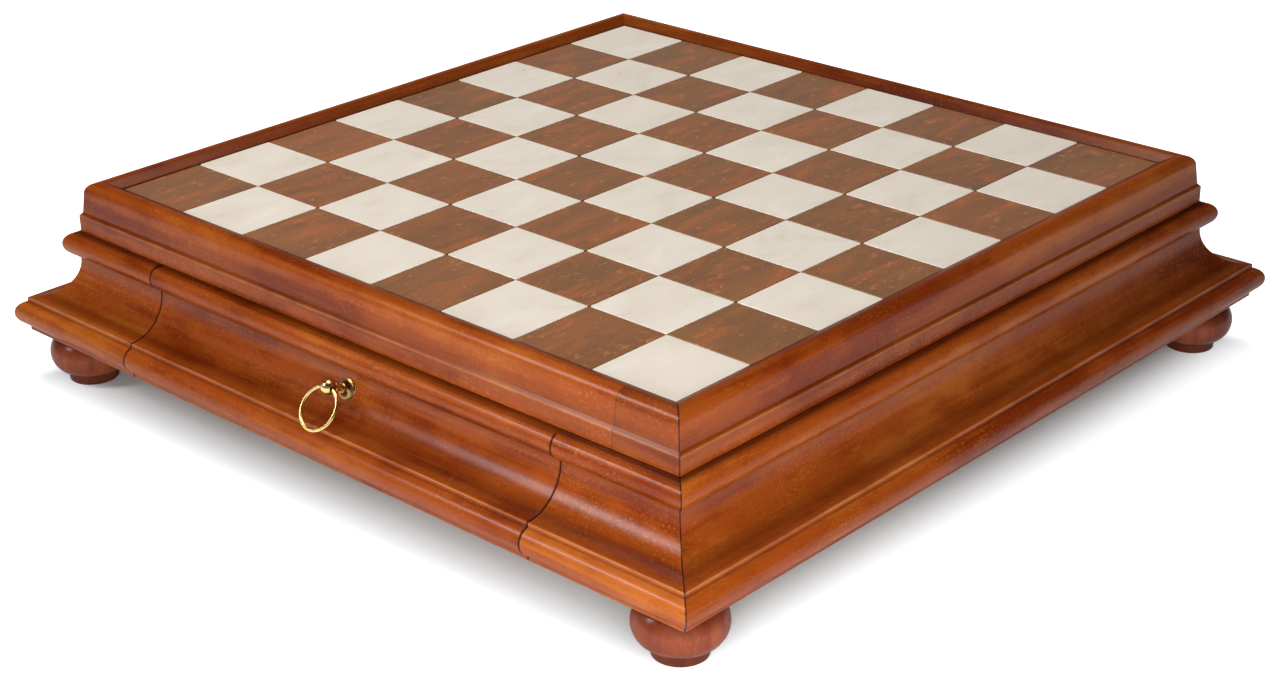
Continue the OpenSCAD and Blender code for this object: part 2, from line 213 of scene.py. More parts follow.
floor_radius = 30.0
paper_white, studio_white = (0.80, 0.85, 0.88, 1), (0.97, 0.985, 1, 1)
glow_under, glow_near, glow_far = 0.0, 0.85, 1.0
near_fade, far_fade = (-27 * MM, 10 * MM), (0.2, 1.0)
glow_shift = {"X": 6 * MM, "Y": 2.5 * MM}

floor_mesh = bpy.data.meshes.new("floor")
sweep = bmesh.new()
bmesh.ops.create_circle(sweep, cap_ends=True, radius=floor_radius, segments=128)
sweep.to_mesh(floor_mesh)
sweep.free()
floor = bpy.data.objects.new("floor", floor_mesh)
bpy.context.scene.collection.objects.link(floor)

paper = bpy.data.materials.new("white paper")
paper.use_nodes = True
paper_tree = paper.node_tree
surface = paper_tree.nodes["Principled BSDF"].inputs
surface["Base Color"].default_value = paper_white
surface["Roughness"].default_value = 1.0
surface["Specular IOR Level"].default_value = 0.0
surface["Emission Color"].default_value = studio_white
near_glow = level(paper_tree, from_box(paper_tree), *near_fade, glow_under, glow_near)
far_glow = level(paper_tree, from_box(paper_tree), *far_fade, 0.0, glow_far - glow_near)
glow = times(paper_tree, plus(paper_tree, near_glow, far_glow), sees_floor(paper_tree))
link(paper_tree, glow, surface["Emission Strength"])
floor_mesh.materials.append(paper)
print(f"paper floor, {floor_radius:.0f} m in radius")

# %% Lamps
def softbox(name, azimuth, elevation, distance, width, height, power, mirrored):
    """A rectangular lamp that faces the box. Azimuth 0 is in front (-Y), and it grows towards +X."""
    a, e = math.radians(azimuth), math.radians(elevation)
    place = Vector((math.sin(a) * math.cos(e), -math.cos(a) * math.cos(e), math.sin(e))) * distance
    data = bpy.data.lights.new(name, "AREA")
    data.shape, data.size, data.size_y = "RECTANGLE", width, height
    data.energy = power
    lamp = bpy.data.objects.new(name, data)
    lamp.location = place
    lamp.rotation_mode = "QUATERNION"
    lamp.rotation_quaternion = place.to_track_quat("Z", "Y")
    lamp.visible_glossy = mirrored
    bpy.context.scene.collection.objects.link(lamp)
    print(f"{name}, {power} W")


# Azimuth and elevation in degrees, distance, width and height in metres, power in watts, mirrored.
softbox("right key softbox", 56, 14, 0.60, 0.35, 0.26, 1.52, False)
softbox("front key softbox", 28, 15, 0.66, 0.35, 0.28, 1.86, False)
softbox("left softbox", -31, 34.5, 0.98, 0.18, 0.25, 3.0, True)
softbox("back softbox", 234, 79, 1.3, 0.66, 0.66, 11.3, True)

# %% The room
backdrop, overhead, shade = 0.30, 0.02, 0.33
horizon, ceiling = 0.15, 0.60
room = bpy.data.worlds.new("room")
room.use_nodes = True
room_tree = room.node_tree
sky_up = apart(room_tree, node(room_tree, "ShaderNodeTexCoord").outputs["Generated"])["Z"]
room_light = level(room_tree, sky_up, horizon, ceiling, backdrop, overhead)
seen = math_node(room_tree, "MULTIPLY_ADD", sees_floor(room_tree), 1.0 - shade, shade)
background = room_tree.nodes["Background"].inputs
background["Color"].default_value = studio_white
link(room_tree, times(room_tree, room_light, seen), background["Strength"])
bpy.context.scene.world = room
bpy.context.scene.view_settings.view_transform = "Standard"
print(f"room, {backdrop} at the horizon and {overhead} overhead")

# %% [markdown]
# ## Tools for finishes
#
# Every finish below is a small node tree. Wood and stone are solid through and through, so their
# figure is a pattern in space. Each piece carries its own copy of that space in an attribute called
# "grain": X runs along the grain, and each piece is shifted by its own amount, so that no two look
# alike.

# %% Patterns
def attribute(tree, name):
    """A number that is stored on the mesh."""
    return node(tree, "ShaderNodeAttribute", attribute_name=name).outputs["Fac"]


def grain_space(tree, stretch, shift=(0, 0, 0)):
    """The piece's own grain coordinates, stretched and shifted."""
    grain = node(tree, "ShaderNodeAttribute", attribute_name="grain").outputs["Vector"]
    return take(tree, "ShaderNodeMapping", {"Vector": grain, "Scale": stretch, "Location": shift})


def noise(tree, space, scale=1.0, detail=4.0, roughness=0.5, distortion=0.0):
    """A noise pattern from 0 to 1."""
    return take(tree, "ShaderNodeTexNoise", {"Vector": space, "Scale": scale, "Detail": detail,
                "Roughness": roughness, "Distortion": distortion})


def figure_noise(tree, stretch, shift=(0, 0, 0), **settings):
    """Noise that follows the grain of the piece."""
    return noise(tree, grain_space(tree, stretch, shift), **settings)


def place_noise(tree, scale, detail=3.0):
    """Noise on the object's own coordinates, for pieces without a grain."""
    return noise(tree, own_place(tree), scale, detail)


def total(tree, *terms):
    """Adds factors up, each given as (factor, weight)."""
    result = 0.0
    for factor, weight in terms:
        result = math_node(tree, "MULTIPLY_ADD", factor, weight, result)
    return result


print("patterns: noise along the grain, noise in place, and totals")

# %% Colours
def ramp(tree, factor, stops):
    """Turns a factor into colours: stops are (place, colour), and colours are linear."""
    made = node(tree, "ShaderNodeValToRGB", {"Fac": factor})
    made.color_ramp.interpolation = "EASE"
    elements = made.color_ramp.elements
    while len(elements) < len(stops):
        elements.new(0.5)
    for element, (place, colour) in zip(elements, stops):
        element.position, element.color = place, (*colour, 1)
    return made.outputs["Color"]


def blend(tree, factor, a, b, how="MIX"):
    """Lays colour b over colour a."""
    made = node(tree, "ShaderNodeMix", data_type="RGBA", blend_type=how)
    sockets = {socket.identifier: socket for socket in made.inputs}
    for name, value in (("Factor_Float", factor), ("A_Color", a), ("B_Color", b)):
        if isinstance(value, bpy.types.NodeSocket):
            link(tree, value, sockets[name])
        else:
            sockets[name].default_value = (*value, 1) if isinstance(value, tuple) else value
    return next(socket for socket in made.outputs if socket.identifier == "Result_Color")


def touched(tree, colour, where, strength, with_colour):
    """Lays a colour over another at a strength, where a pattern says so."""
    return blend(tree, times(tree, where, strength), colour, with_colour)


def uneven(tree, pattern, least, most):
    """A roughness from least to most that follows a pattern."""
    return level(tree, pattern, 0.2, 0.8, least, most)


print("colours: ramps, blends and touches, and an uneven roughness")

# %% Finish
def finish(name, colour, make, roughness=0.5, depth=0.0, sockets=None):
    """A material. make(tree) returns the colour, roughness and height sockets of its pattern."""
    material = bpy.data.materials.new(name)
    material.use_nodes = True
    material.diffuse_color = (*colour, 1)
    tree = material.node_tree
    shader = tree.nodes["Principled BSDF"].inputs
    shader["Base Color"].default_value = (*colour, 1)
    shader["Roughness"].default_value = roughness
    for socket, value in (sockets or {}).items():
        shader[socket].default_value = value
    pattern = make(tree)
    link(tree, pattern["colour"], shader["Base Color"])
    if "roughness" in pattern:
        link(tree, pattern["roughness"], shader["Roughness"])
    if "height" in pattern:
        bump = {"Height": pattern["height"], "Strength": 1.0, "Distance": depth}
        link(tree, take(tree, "ShaderNodeBump", bump), shader["Normal"])
    print("finish:", name)
    return material


print("every finish is a Principled shader with a pattern of its own")

# %% [markdown]
# ## Lacquered wood
#
# The frame and the base are a close-grained hardwood, stained red-brown and rubbed to a satin
# lacquer. Long streaks follow the length of each piece. Across them lie patches of fine ripple,
# where the fibres wave, and patches of small golden flecks. Stain has gathered where a cloth or a
# brush leaves it, in the inner corners and low in the cove, and a saw cut drinks more of it than a
# face does. The dark marks in the corners, above the ledge, under the beads and the frame, low in
# the cove and on the inner bevel of the frame are partly that stain and partly painted shade.
# Handling has worn the stain thin on the sharpest lines, and the lighter lines there are partly wear
# and partly a painted highlight. The mesh says where: one attribute marks the stain with painted
# shade, another the wear with painted highlight, "end stain" and "end face" the ends of a length,
# and "duller" a length from a plainer board. The gloss is a clear coat over a duller base, because
# then the colour stays deep while the coat mirrors the room.

# %% Stained wood
def stained_pattern(tree, dark, middle, light, gold):
    """Streaks, mottling, ripple, flecks and pores. Returns the colour, the height and the mottling."""
    streaks = figure_noise(tree, (7, 210, 210), detail=5, roughness=0.6, distortion=0.4)
    bands = figure_noise(tree, (3.5, 42, 42), detail=3, distortion=0.8)
    mottle = figure_noise(tree, (38, 80, 80), detail=4, roughness=0.6)
    mixed = total(tree, (streaks, 0.34), (bands, 0.36), (mottle, 0.30))
    drift = level(tree, figure_noise(tree, (9, 26, 26), (1, 4, 8), detail=1), 0.3, 0.7, -0.05, 0.05)
    colour = ramp(tree, plus(tree, mixed, drift), [(0.38, dark), (0.50, middle), (0.62, light)])

    patches = level(tree, figure_noise(tree, (16, 55, 55), (2, 9, 4), detail=2), 0.48, 0.66)
    ripple = level(tree, figure_noise(tree, (900, 110, 110), detail=2, distortion=0.15), 0.40, 0.64)
    rippled = times(tree, patches, ripple)
    colour = touched(tree, colour, rippled, 0.07, gold)

    where = level(tree, figure_noise(tree, (22, 60, 60), (7, 3, 1), detail=3), 0.44, 0.60, 0.25, 1.0)
    flecks = level(tree, figure_noise(tree, (760, 1150, 1150), (3, 5, 7), detail=2), 0.56, 0.68)
    colour = touched(tree, colour, times(tree, where, flecks), 0.30, gold)

    pores = level(tree, figure_noise(tree, (300, 2400, 2400), detail=2), 0.58, 0.74)
    colour = touched(tree, colour, pores, 0.30, tuple(0.40 * c for c in dark))
    return colour, total(tree, (pores, -1.0), (rippled, 0.15)), mottle


print("one pattern for both stained woods")

# %% Frame wood
frame_stain = ((0.150, 0.0195, 0.0018), (0.253, 0.0465, 0.0048), (0.348, 0.087, 0.0108),
               (0.490, 0.162, 0.0220))
stain_and_shade_colour, cut_stain, wear_and_highlight_colour = (0.045, 0.005, 0.0010), (0.012, 0.004, 0.002), (0.600, 0.250, 0.085)
plainer_board = (0.84, 0.87, 0.90)
hollow_strength, wear_and_highlight_strength, cut_strength, end_face_loss = 0.85, 0.70, 0.97, 0.35
wood_depth = 0.02 * MM
lacquer = {"Coat Weight": 0.34, "Coat Roughness": 0.24, "Coat IOR": 1.5, "Specular IOR Level": 0.0}


def frame_wood(tree):
    colour, height, mottle = stained_pattern(tree, *frame_stain)
    # Darker in the inner corners, above the ledge, under the beads and the frame, low in the cove and on the
    # inner bevel: partly gathered stain, partly painted shade.
    hollow = level(tree, attribute(tree, "hollow"), 0.0, 1.0, 0.0, hollow_strength)
    colour = blend(tree, hollow, colour, stain_and_shade_colour)
    # Lighter on the sharpest arrises: partly worn stain, partly a painted highlight.
    wear_and_highlight = level(tree, attribute(tree, "wear_and_highlight"), 0.0, 1.0, 0.0, wear_and_highlight_strength)
    colour = touched(tree, colour, wear_and_highlight, level(tree, mottle, 0.40, 0.60, 0.45, 1.0), wear_and_highlight_colour)
    dull = blend(tree, 1.0, colour, plainer_board, "MULTIPLY")
    colour = blend(tree, attribute(tree, "duller"), colour, dull)
    stain = level(tree, attribute(tree, "end stain"), 0.0, 0.8, 0.0, cut_strength)
    thinner = math_node(tree, "MULTIPLY_ADD", attribute(tree, "end face"), -end_face_loss, 1.0)
    colour = touched(tree, colour, stain, thinner, cut_stain)
    return {"colour": colour, "roughness": uneven(tree, mottle, 0.42, 0.56), "height": height}


wood_frame = finish("lacquered frame wood", (0.266, 0.050, 0.0058), frame_wood, depth=wood_depth,
                    sockets=lacquer)

# %% Foot wood
foot_stain = ((0.120, 0.022, 0.008), (0.190, 0.040, 0.015), (0.255, 0.060, 0.022), (0.330, 0.090, 0.032))
foot_painted_shade = (0.050, 0.010, 0.004)
neck_from, disc_from, disc_to = 14 * MM, 5.5 * MM, 4.0 * MM
neck_shade, disc_shade = 0.78, 0.62


def foot_wood(tree):
    colour, height, mottle = stained_pattern(tree, *foot_stain)
    # The neck under the base and the low disc are darkened: painted shade.
    high = apart(tree, own_place(tree))["Z"]
    top = level(tree, high, neck_from, moulding_z, 0.0, neck_shade)
    shaded_disc = level(tree, times(tree, high, -1.0), -disc_from, -disc_to, 0.0, disc_shade)
    colour = blend(tree, larger(tree, top, shaded_disc), colour, foot_painted_shade)
    return {"colour": colour, "roughness": uneven(tree, mottle, 0.42, 0.56), "height": height}


wood_feet = finish("lacquered foot wood", (0.205, 0.046, 0.018), foot_wood, depth=wood_depth,
                   sockets=lacquer)

# %% [markdown]
# ## Wood that is not seen from outside
#
# Inside, the maker leaves the wood pale and only seals it. The drawers are beech, with its small
# darker flecks, and the panels are plywood, whose face shows the wide open figure of peeled veneer.

# %% Inner woods
beech_tones = ((0.34, (0.440, 0.262, 0.128)), (0.52, (0.560, 0.362, 0.190)), (0.68, (0.650, 0.450, 0.258)))
beech_fleck = (0.270, 0.140, 0.062)
veneer_tones = ((0.12, (0.400, 0.235, 0.110)), (0.45, (0.540, 0.355, 0.185)), (0.85, (0.640, 0.450, 0.260)))


def beech(tree):
    streaks = figure_noise(tree, (6, 150, 150), detail=5, roughness=0.55, distortion=0.3)
    flecks = level(tree, figure_noise(tree, (380, 1700, 1700), detail=1), 0.62, 0.72)
    colour = touched(tree, ramp(tree, streaks, beech_tones), flecks, 0.45, beech_fleck)
    return {"colour": colour, "roughness": uneven(tree, streaks, 0.48, 0.66), "height": streaks}


def plywood(tree):
    rings = node(tree, "ShaderNodeTexWave", {"Vector": grain_space(tree, (2.2, 14, 14)), "Scale": 1.0,
                 "Distortion": 9.0, "Detail": 3.0, "Detail Scale": 0.7}, wave_profile="SAW").outputs["Fac"]
    fibres = figure_noise(tree, (40, 1300, 1300), detail=3)
    colour = ramp(tree, total(tree, (rings, 0.6), (fibres, 0.4)), veneer_tones)
    return {"colour": colour, "roughness": uneven(tree, fibres, 0.55, 0.75), "height": fibres}


wood_inner = finish("beech", (0.56, 0.36, 0.19), beech, depth=0.03 * MM)
wood_panel = finish("plywood", (0.54, 0.355, 0.185), plywood, depth=0.04 * MM)

# %% [markdown]
# ## Alabaster
#
# The board is cut from two kinds of alabaster. The pale one is almost plain, with faint clouds. The
# brown one is dyed: reddish streaks and small rusty spots run one way through it, with pale specks,
# and every tile differs. Each tile gets its own shift of the pattern, so its figure stops at its
# edges as cut stone does, and its own tone between reddish and olive brown. A light polish lies on
# both.

# %% Pale stone
pale_tones = ((0.30, (0.775, 0.685, 0.565)), (0.50, (0.830, 0.742, 0.625)), (0.72, (0.870, 0.790, 0.685)))
pale_vein = (0.60, 0.53, 0.42)
stone_depth = 0.01 * MM
polish = {"Specular IOR Level": 0.45}


def pale_stone(tree):
    clouds = figure_noise(tree, (38, 60, 60), detail=5, roughness=0.6, distortion=0.6)
    veins = level(tree, figure_noise(tree, (30, 120, 120), (9, 2, 4), detail=6, distortion=1.5), 0.49, 0.50)
    colour = touched(tree, ramp(tree, clouds, pale_tones), veins, 0.05, pale_vein)
    return {"colour": colour, "roughness": uneven(tree, clouds, 0.27, 0.31), "height": clouds}


stone_pale = finish("pale alabaster", (0.80, 0.735, 0.605), pale_stone, depth=stone_depth, sockets=polish)

# %% Brown stone
brown_tones = ((0.34, (0.200, 0.086, 0.036)), (0.47, (0.255, 0.101, 0.039)),
               (0.57, (0.295, 0.110, 0.040)), (0.68, (0.355, 0.122, 0.042)))
olive_shift = (0.88, 1.00, 1.04)
rust_colour, spot_colour, speck_colour = (0.440, 0.120, 0.036), (0.500, 0.190, 0.066), (0.620, 0.400, 0.200)


def brown_stone(tree):
    streaks = figure_noise(tree, (20, 95, 95), detail=6, roughness=0.65, distortion=1.1)
    clouds = figure_noise(tree, (14, 34, 34), (4, 1, 8), detail=4, roughness=0.55, distortion=0.8)
    colour = ramp(tree, total(tree, (streaks, 0.55), (clouds, 0.45)), brown_tones)
    olive = blend(tree, 1.0, colour, olive_shift, "MULTIPLY")
    colour = blend(tree, attribute(tree, "tone"), colour, olive)
    rust = level(tree, figure_noise(tree, (34, 110, 110), (6, 3, 2), detail=4, distortion=0.9), 0.50, 0.70)
    colour = touched(tree, colour, rust, 0.56, rust_colour)
    spots = level(tree, figure_noise(tree, (170, 280, 280), (2, 7, 5), detail=3, roughness=0.6), 0.60, 0.68)
    colour = touched(tree, colour, spots, 0.50, spot_colour)
    specks = level(tree, figure_noise(tree, (700, 1100, 1100), detail=1), 0.72, 0.77)
    colour = touched(tree, colour, specks, 0.6, speck_colour)
    return {"colour": colour, "roughness": uneven(tree, clouds, 0.22, 0.28), "height": streaks}


stone_brown = finish("brown alabaster", (0.24, 0.088, 0.030), brown_stone, depth=stone_depth, sockets=polish)

# %% [markdown]
# ## Brass, steel and felt
#
# The pulls are turned brass, buffed but handled: the gloss is uneven. Polish doesn't reach down to
# the rosettes, so they have darkened, and the attribute "patina" says how far. The screws are plain
# steel. The drawers are lined with green felt, which is dull and fuzzy, with short fibres lying
# every way.

# %% Metals and felt
brass_tones = ((0.30, (0.600, 0.400, 0.140)), (0.65, (0.740, 0.530, 0.215)))
brass_patina = (0.240, 0.130, 0.045)
steel_tones = ((0.3, (0.42, 0.42, 0.43)), (0.7, (0.60, 0.60, 0.61)))
felt_tones = ((0.30, (0.004, 0.045, 0.022)), (0.70, (0.018, 0.125, 0.062)))


def brass(tree):
    buffing = place_noise(tree, 420)
    colour = blend(tree, attribute(tree, "patina"), ramp(tree, buffing, brass_tones), brass_patina)
    return {"colour": colour, "roughness": uneven(tree, buffing, 0.25, 0.31)}


def steel(tree):
    tone = place_noise(tree, 700)
    return {"colour": ramp(tree, tone, steel_tones), "roughness": uneven(tree, tone, 0.28, 0.45),
            "height": place_noise(tree, 3000)}


def felt(tree):
    fibres = place_noise(tree, 2600, 5.0)
    mixed = total(tree, (fibres, 0.65), (place_noise(tree, 60), 0.35))
    return {"colour": ramp(tree, mixed, felt_tones), "height": fibres}


metal = {"Metallic": 1.0}
fuzz = {"Sheen Weight": 0.6, "Sheen Roughness": 0.5, "Specular IOR Level": 0.1}
metal_brass = finish("polished brass", (0.68, 0.47, 0.18), brass, sockets=metal)
metal_steel = finish("screw steel", (0.5, 0.5, 0.5), steel, depth=0.01 * MM, sockets=metal)
green_felt = finish("green felt", (0.01, 0.08, 0.04), felt, roughness=0.95, depth=0.2 * MM, sockets=fuzz)

# %% [markdown]
# ## Tools for Geometry Nodes
#
# Mouldings, tiles and feet repeat or follow a rule, so they are made by node trees. A tree is a
# recipe: it has named inputs for its sizes, and the same tree serves many pieces. When a piece is
# done it is baked to a plain mesh, because an exporter knows nothing of instances or modifiers.

# %% Start, run and end a tree
def new_tree(name, sizes):
    """An empty geometry tree with the named inputs of each kind. Returns it, its inputs and its outputs."""
    tree = bpy.data.node_groups.new(name, "GeometryNodeTree")
    for way in ("INPUT", "OUTPUT"):
        tree.interface.new_socket("Geometry", in_out=way, socket_type="NodeSocketGeometry")
    for kind, labels in sizes.items():
        for label in labels:
            tree.interface.new_socket(label, in_out="INPUT", socket_type="NodeSocket" + kind)
    return tree, node(tree, "NodeGroupInput").outputs, node(tree, "NodeGroupOutput").inputs


def run_tree(obj, tree, values):
    """Puts the tree on obj as a modifier and sets its inputs by their identifiers."""
    modifier = obj.modifiers.new(tree.name, "NODES")
    modifier.node_group = tree
    names = {s.name: s.identifier for s in tree.interface.items_tree if s.in_out == "INPUT"}
    for label, value in values.items():
        modifier[names[label]] = value


def end_tree(tree, geometry, material, result):
    """Ends a tree: copies become real, and everything gets its material."""
    real = take(tree, "GeometryNodeRealizeInstances", {"Geometry": geometry})
    dressed = take(tree, "GeometryNodeSetMaterial", {"Geometry": real, "Material": material})
    link(tree, dressed, result["Geometry"])
    print(f"tree '{tree.name}' with {len(tree.nodes)} nodes")
    return tree


print("a tree is started, run and ended in the same way each time")

# %% Steps inside a tree
def position(tree):
    """Where a point lies."""
    return take(tree, "GeometryNodeInputPosition")


def vector_node(tree, how, *values):
    """A Vector Math node with its inputs in order."""
    return take(tree, "ShaderNodeVectorMath", dict(enumerate(values)), operation=how)


def scaled(tree, vector, factor):
    """A vector times a number."""
    return take(tree, "ShaderNodeVectorMath", {0: vector, "Scale": factor}, operation="SCALE")


def together(tree, **parts):
    """A vector of the X, Y and Z that are given. The others are 0."""
    return take(tree, "ShaderNodeCombineXYZ", parts)


def store(tree, geometry, name, value, kind="FLOAT", domain="POINT"):
    """Keeps a value on the geometry as an attribute."""
    return take(tree, "GeometryNodeStoreNamedAttribute", {"Geometry": geometry, "Name": name,
                "Value": value}, data_type=kind, domain=domain)


def stored(tree, name):
    """A vector that was kept on the geometry."""
    return take(tree, "GeometryNodeInputNamedAttribute", {"Name": name}, data_type="FLOAT_VECTOR")


def by_chance(tree, low, high, seed):
    """A random number from low to high for each element, or a vector where low and high are vectors."""
    kind, first, answer = ("FLOAT_VECTOR", 0, 0) if isinstance(low, tuple) else ("FLOAT", 2, 1)
    return node(tree, "FunctionNodeRandomValue", {first: low, first + 1: high, "Seed": seed},
                data_type=kind).outputs[answer]


def closed(tree, *shells):
    """Joins open shells at their common edges into closed forms."""
    both = node(tree, "GeometryNodeJoinGeometry")
    for shell in shells:
        link(tree, shell, both.inputs["Geometry"])
    return take(tree, "GeometryNodeMergeByDistance", {"Geometry": both.outputs[0], "Distance": weld})


weld = 0.001 * MM
figure_low, figure_high = (-3.0, -3.0, -3.0), (3.0, 3.0, 3.0)
print("steps: places, vectors, attributes, chance and closed forms")

# %% Bake a piece
def linked(name, mesh):
    """A new object in the scene."""
    obj = bpy.data.objects.new(name, mesh)
    bpy.context.scene.collection.objects.link(obj)
    return obj


def arris(obj, width, segments=3, how="ANGLE"):
    """Rounds edges of obj: the sharp ones, or with how="WEIGHT" those with a bevel weight."""
    soft = obj.modifiers.new("arris", "BEVEL")
    soft.width, soft.segments = width, segments
    soft.limit_method, soft.angle_limit = how, math.radians(40)
    soft.use_clamp_overlap = True


def baked(obj, name, cutter=None, keep_sharp=False):
    """Turns obj with its modifiers into a plain mesh object called name, and removes obj."""
    if cutter:
        cut = obj.modifiers.new("cut", "BOOLEAN")
        cut.operation, cut.object, cut.solver = "DIFFERENCE", cutter, "EXACT"
    even = obj.modifiers.new("even shading", "WEIGHTED_NORMAL")
    even.keep_sharp = keep_sharp
    graph = bpy.context.evaluated_depsgraph_get()
    mesh = bpy.data.meshes.new_from_object(obj.evaluated_get(graph), preserve_all_data_layers=True,
                                           depsgraph=graph)
    bpy.data.objects.remove(obj)
    mesh.name = name
    return linked(name, mesh)


def placed(obj, body, slot, *nodes):
    """Hands a finished piece over: it rides on body and stands for the nodes."""
    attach(obj, body)
    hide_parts(*nodes)
    print(f"{obj.name}: {len(obj.data.polygons)} faces, for {', '.join(nodes)}")
    return obj


print("a piece is rounded, baked and handed over")

# %% [markdown]
# ## Outlines of the mouldings
#
# Both the top frame and the base are straight lengths of wood with one outline, run on a spindle
# moulder. The outline is drawn as seen from the end: how far out from the middle of the box, and
# how high. Straight stretches need only their corners, and each bead or cove is an arc.

# %% Arcs
def arc(centre, radius, start, stop, steps):
    """Points on an arc, angles in degrees from outwards towards up."""
    angles = [math.radians(start + (stop - start) * k / steps) for k in range(steps + 1)]
    return [(centre[0] + radius * math.cos(a), centre[1] + radius * math.sin(a)) for a in angles]


def bead_radius(height, out):
    """The radius of a bead of this height that stands out by out."""
    return (height * height / 4 + out * out) / (2 * out)


def bead(face, middle, height, out, steps=24):
    """A bead on a face, from its lower edge to its upper one."""
    radius = bead_radius(height, out)
    swing = math.degrees(math.atan2(height / 2, radius - out))
    return arc((face + out - radius, middle), radius, -swing, swing, steps)


print(f"a bead 10 mm high that stands out by 4 mm has a radius of {bead_radius(10, 4):.2f} mm")

# %% Corners and marks
def rounded(outline, radius, steps=4):
    """Rounds every sharp corner of an outline, as far as the lengths beside it allow."""
    points = []
    for k, here in enumerate(outline):
        here = Vector(here)
        before, after = Vector(outline[k - 1]) - here, Vector(outline[(k + 1) % len(outline)]) - here
        turn = math.pi - before.angle(after)
        if turn < math.radians(30):
            # So gentle a turn is a step of an arc, and stays.
            points.append(tuple(here))
            continue
        room = min(radius * math.tan(turn / 2), 0.45 * before.length, 0.45 * after.length)
        first, last = here + before.normalized() * room, here + after.normalized() * room
        for n in range(steps + 1):
            t = n / steps
            points.append(tuple((1 - t) ** 2 * first + 2 * t * (1 - t) * here + t * t * last))
    return points


def spaced(outline, reach=0.6 * MM):
    """Adds a point near each end of every long straight stretch, so that a mark in a corner stays there."""
    points = []
    for k, here in enumerate(outline):
        here, there = Vector(here), Vector(outline[(k + 1) % len(outline)])
        points.append(tuple(here))
        if (there - here).length > 2.2 * reach:
            step = (there - here).normalized() * reach
            points += [tuple(here + step), tuple(there - step)]
    return points


def mark(mesh, name, outline, places):
    """Stores on the points of an outline how near each lies to a place: (out, height, reach, strength)."""
    values = []
    for point in outline:
        near = [strength * (1 - math.dist(point, place) / reach) for *place, reach, strength in places]
        values.append(max([0.0] + near))
    layer = mesh.attributes.get(name) or mesh.attributes.new(name, "FLOAT", "POINT")
    layer.data.foreach_set("value", values)


print(f"a square with its corners rounded has {len(rounded([(0, 0), (1, 0), (1, 1), (0, 1)], 0.1))} points")

# %% Outline of the top frame
lip_in, lip_z = field + 0.3 * MM, stone_z + 0.3 * MM
seat_w = 8 * MM
shoulder_r, bevel_angle = 4.75 * MM, 27.5
face_foot, face_batter = fascia - 1.2 * MM, 0.85 * MM
ledge_z, ledge_h = crest_z - 12.9 * MM, 1.3 * MM
crest = face_foot - face_batter - shoulder_r
soft_corner = 0.3 * MM

rail_outline = [(lip_in - seat_w, rail_z), (fascia, rail_z), (fascia, ledge_z - ledge_h),
                (face_foot, ledge_z)]
rail_outline += arc((crest, crest_z - shoulder_r), shoulder_r, 0, 90 + bevel_angle, 26)
rail_outline += [(lip_in, lip_z), (lip_in, seat_z), (lip_in - seat_w, seat_z)]
rail_outline = spaced(rounded(rail_outline, soft_corner))
# Each mark is (out, height, reach, strength).
# The first list darkens the foot of the face above the ledge, the inner bevel below the crest and the lip by
# the stone: partly gathered stain, partly painted shade.
rail_hollows = [(face_foot, ledge_z, 0.5 * MM, 0.45), (face_foot, ledge_z, 8 * MM, 0.42),
                (crest - 2.2 * MM, crest_z - 0.5 * MM, 2.4 * MM, 0.6), (lip_in, lip_z, 3 * MM, 0.75)]
# This lightens the ledge's arris: partly wear, partly a painted highlight.
rail_wear_and_highlight = [(fascia, ledge_z - ledge_h, 0.9 * MM, 0.55)]
print(f"frame outline of {len(rail_outline)} points, crest {crest / MM:.2f} mm out")

# %% Outline of the base
neck = inside + 11 * MM
cove_r = 17.3 * MM
base_edge = neck + cove_r
cove_z = moulding_z + 32.3 * MM
cove_low = cove_z - cove_r
bead_h, bead_out, bead_z = 10.4 * MM, 5.1 * MM, rail_z - 5.5 * MM
base_bead_h, base_bead_out, base_bead_z = 10.8 * MM, outermost - base_edge, moulding_z + 7.8 * MM
rebate_w, bottom_t = 8 * MM, 4 * MM
cove_outline = bead(base_edge, base_bead_z, base_bead_h, base_bead_out)
cove_outline += arc((base_edge, cove_z), cove_r, -90, -180, 40)

base_outline = [(inside + rebate_w, moulding_z), (base_edge, moulding_z)] + cove_outline
base_outline += bead(neck, bead_z, bead_h, bead_out)
base_outline += [(neck, rail_z), (inside, rail_z), (inside, moulding_z + bottom_t),
                 (inside + rebate_w, moulding_z + bottom_t)]
base_outline = spaced(rounded(base_outline, soft_corner))
# The first list darkens the inner corners, the top of the bead under the frame, the cove under the bead and
# low in the cove: partly gathered stain, partly painted shade.
base_hollows = [(neck, bead_z - bead_h / 2, 0.9 * MM, 1.0), (neck, rail_z, 3.6 * MM, 0.90),
                (neck, cove_z, 8 * MM, 0.42), (base_edge - 6 * MM, cove_low + 1 * MM, 9 * MM, 0.58),
                (base_edge, base_bead_z + base_bead_h / 2, 0.7 * MM, 0.55),
                (base_edge, base_bead_z - base_bead_h / 2, 0.8 * MM, 0.6)]
# This lightens the fillet's arris at the foot of the cove: partly wear, partly a painted highlight.
base_wear_and_highlight = [(base_edge, cove_low, 0.9 * MM, 0.7)]
print(f"base outline of {len(base_outline)} points, cove ends {base_edge / MM:.2f} mm out")

# %% [markdown]
# ## A tree that runs a moulding
#
# The tree takes the outline as one flat face and draws it out in three steps into a length of wood,
# so the outline stands in it four times: rings 0 to 3. The rule for its ends is the one that a mitre
# saw follows: a point of the outline that lies further out is cut further along. So each end goes to
# the mitre, x = distance from the middle, unless the piece stops before it. Rings 1 and 2 lie close
# to the ends and bound a thin band that carries a mark, which the finish turns into gathered stain.
# The edges round an end carry a weight, which tells the Bevel modifier how far to round them.

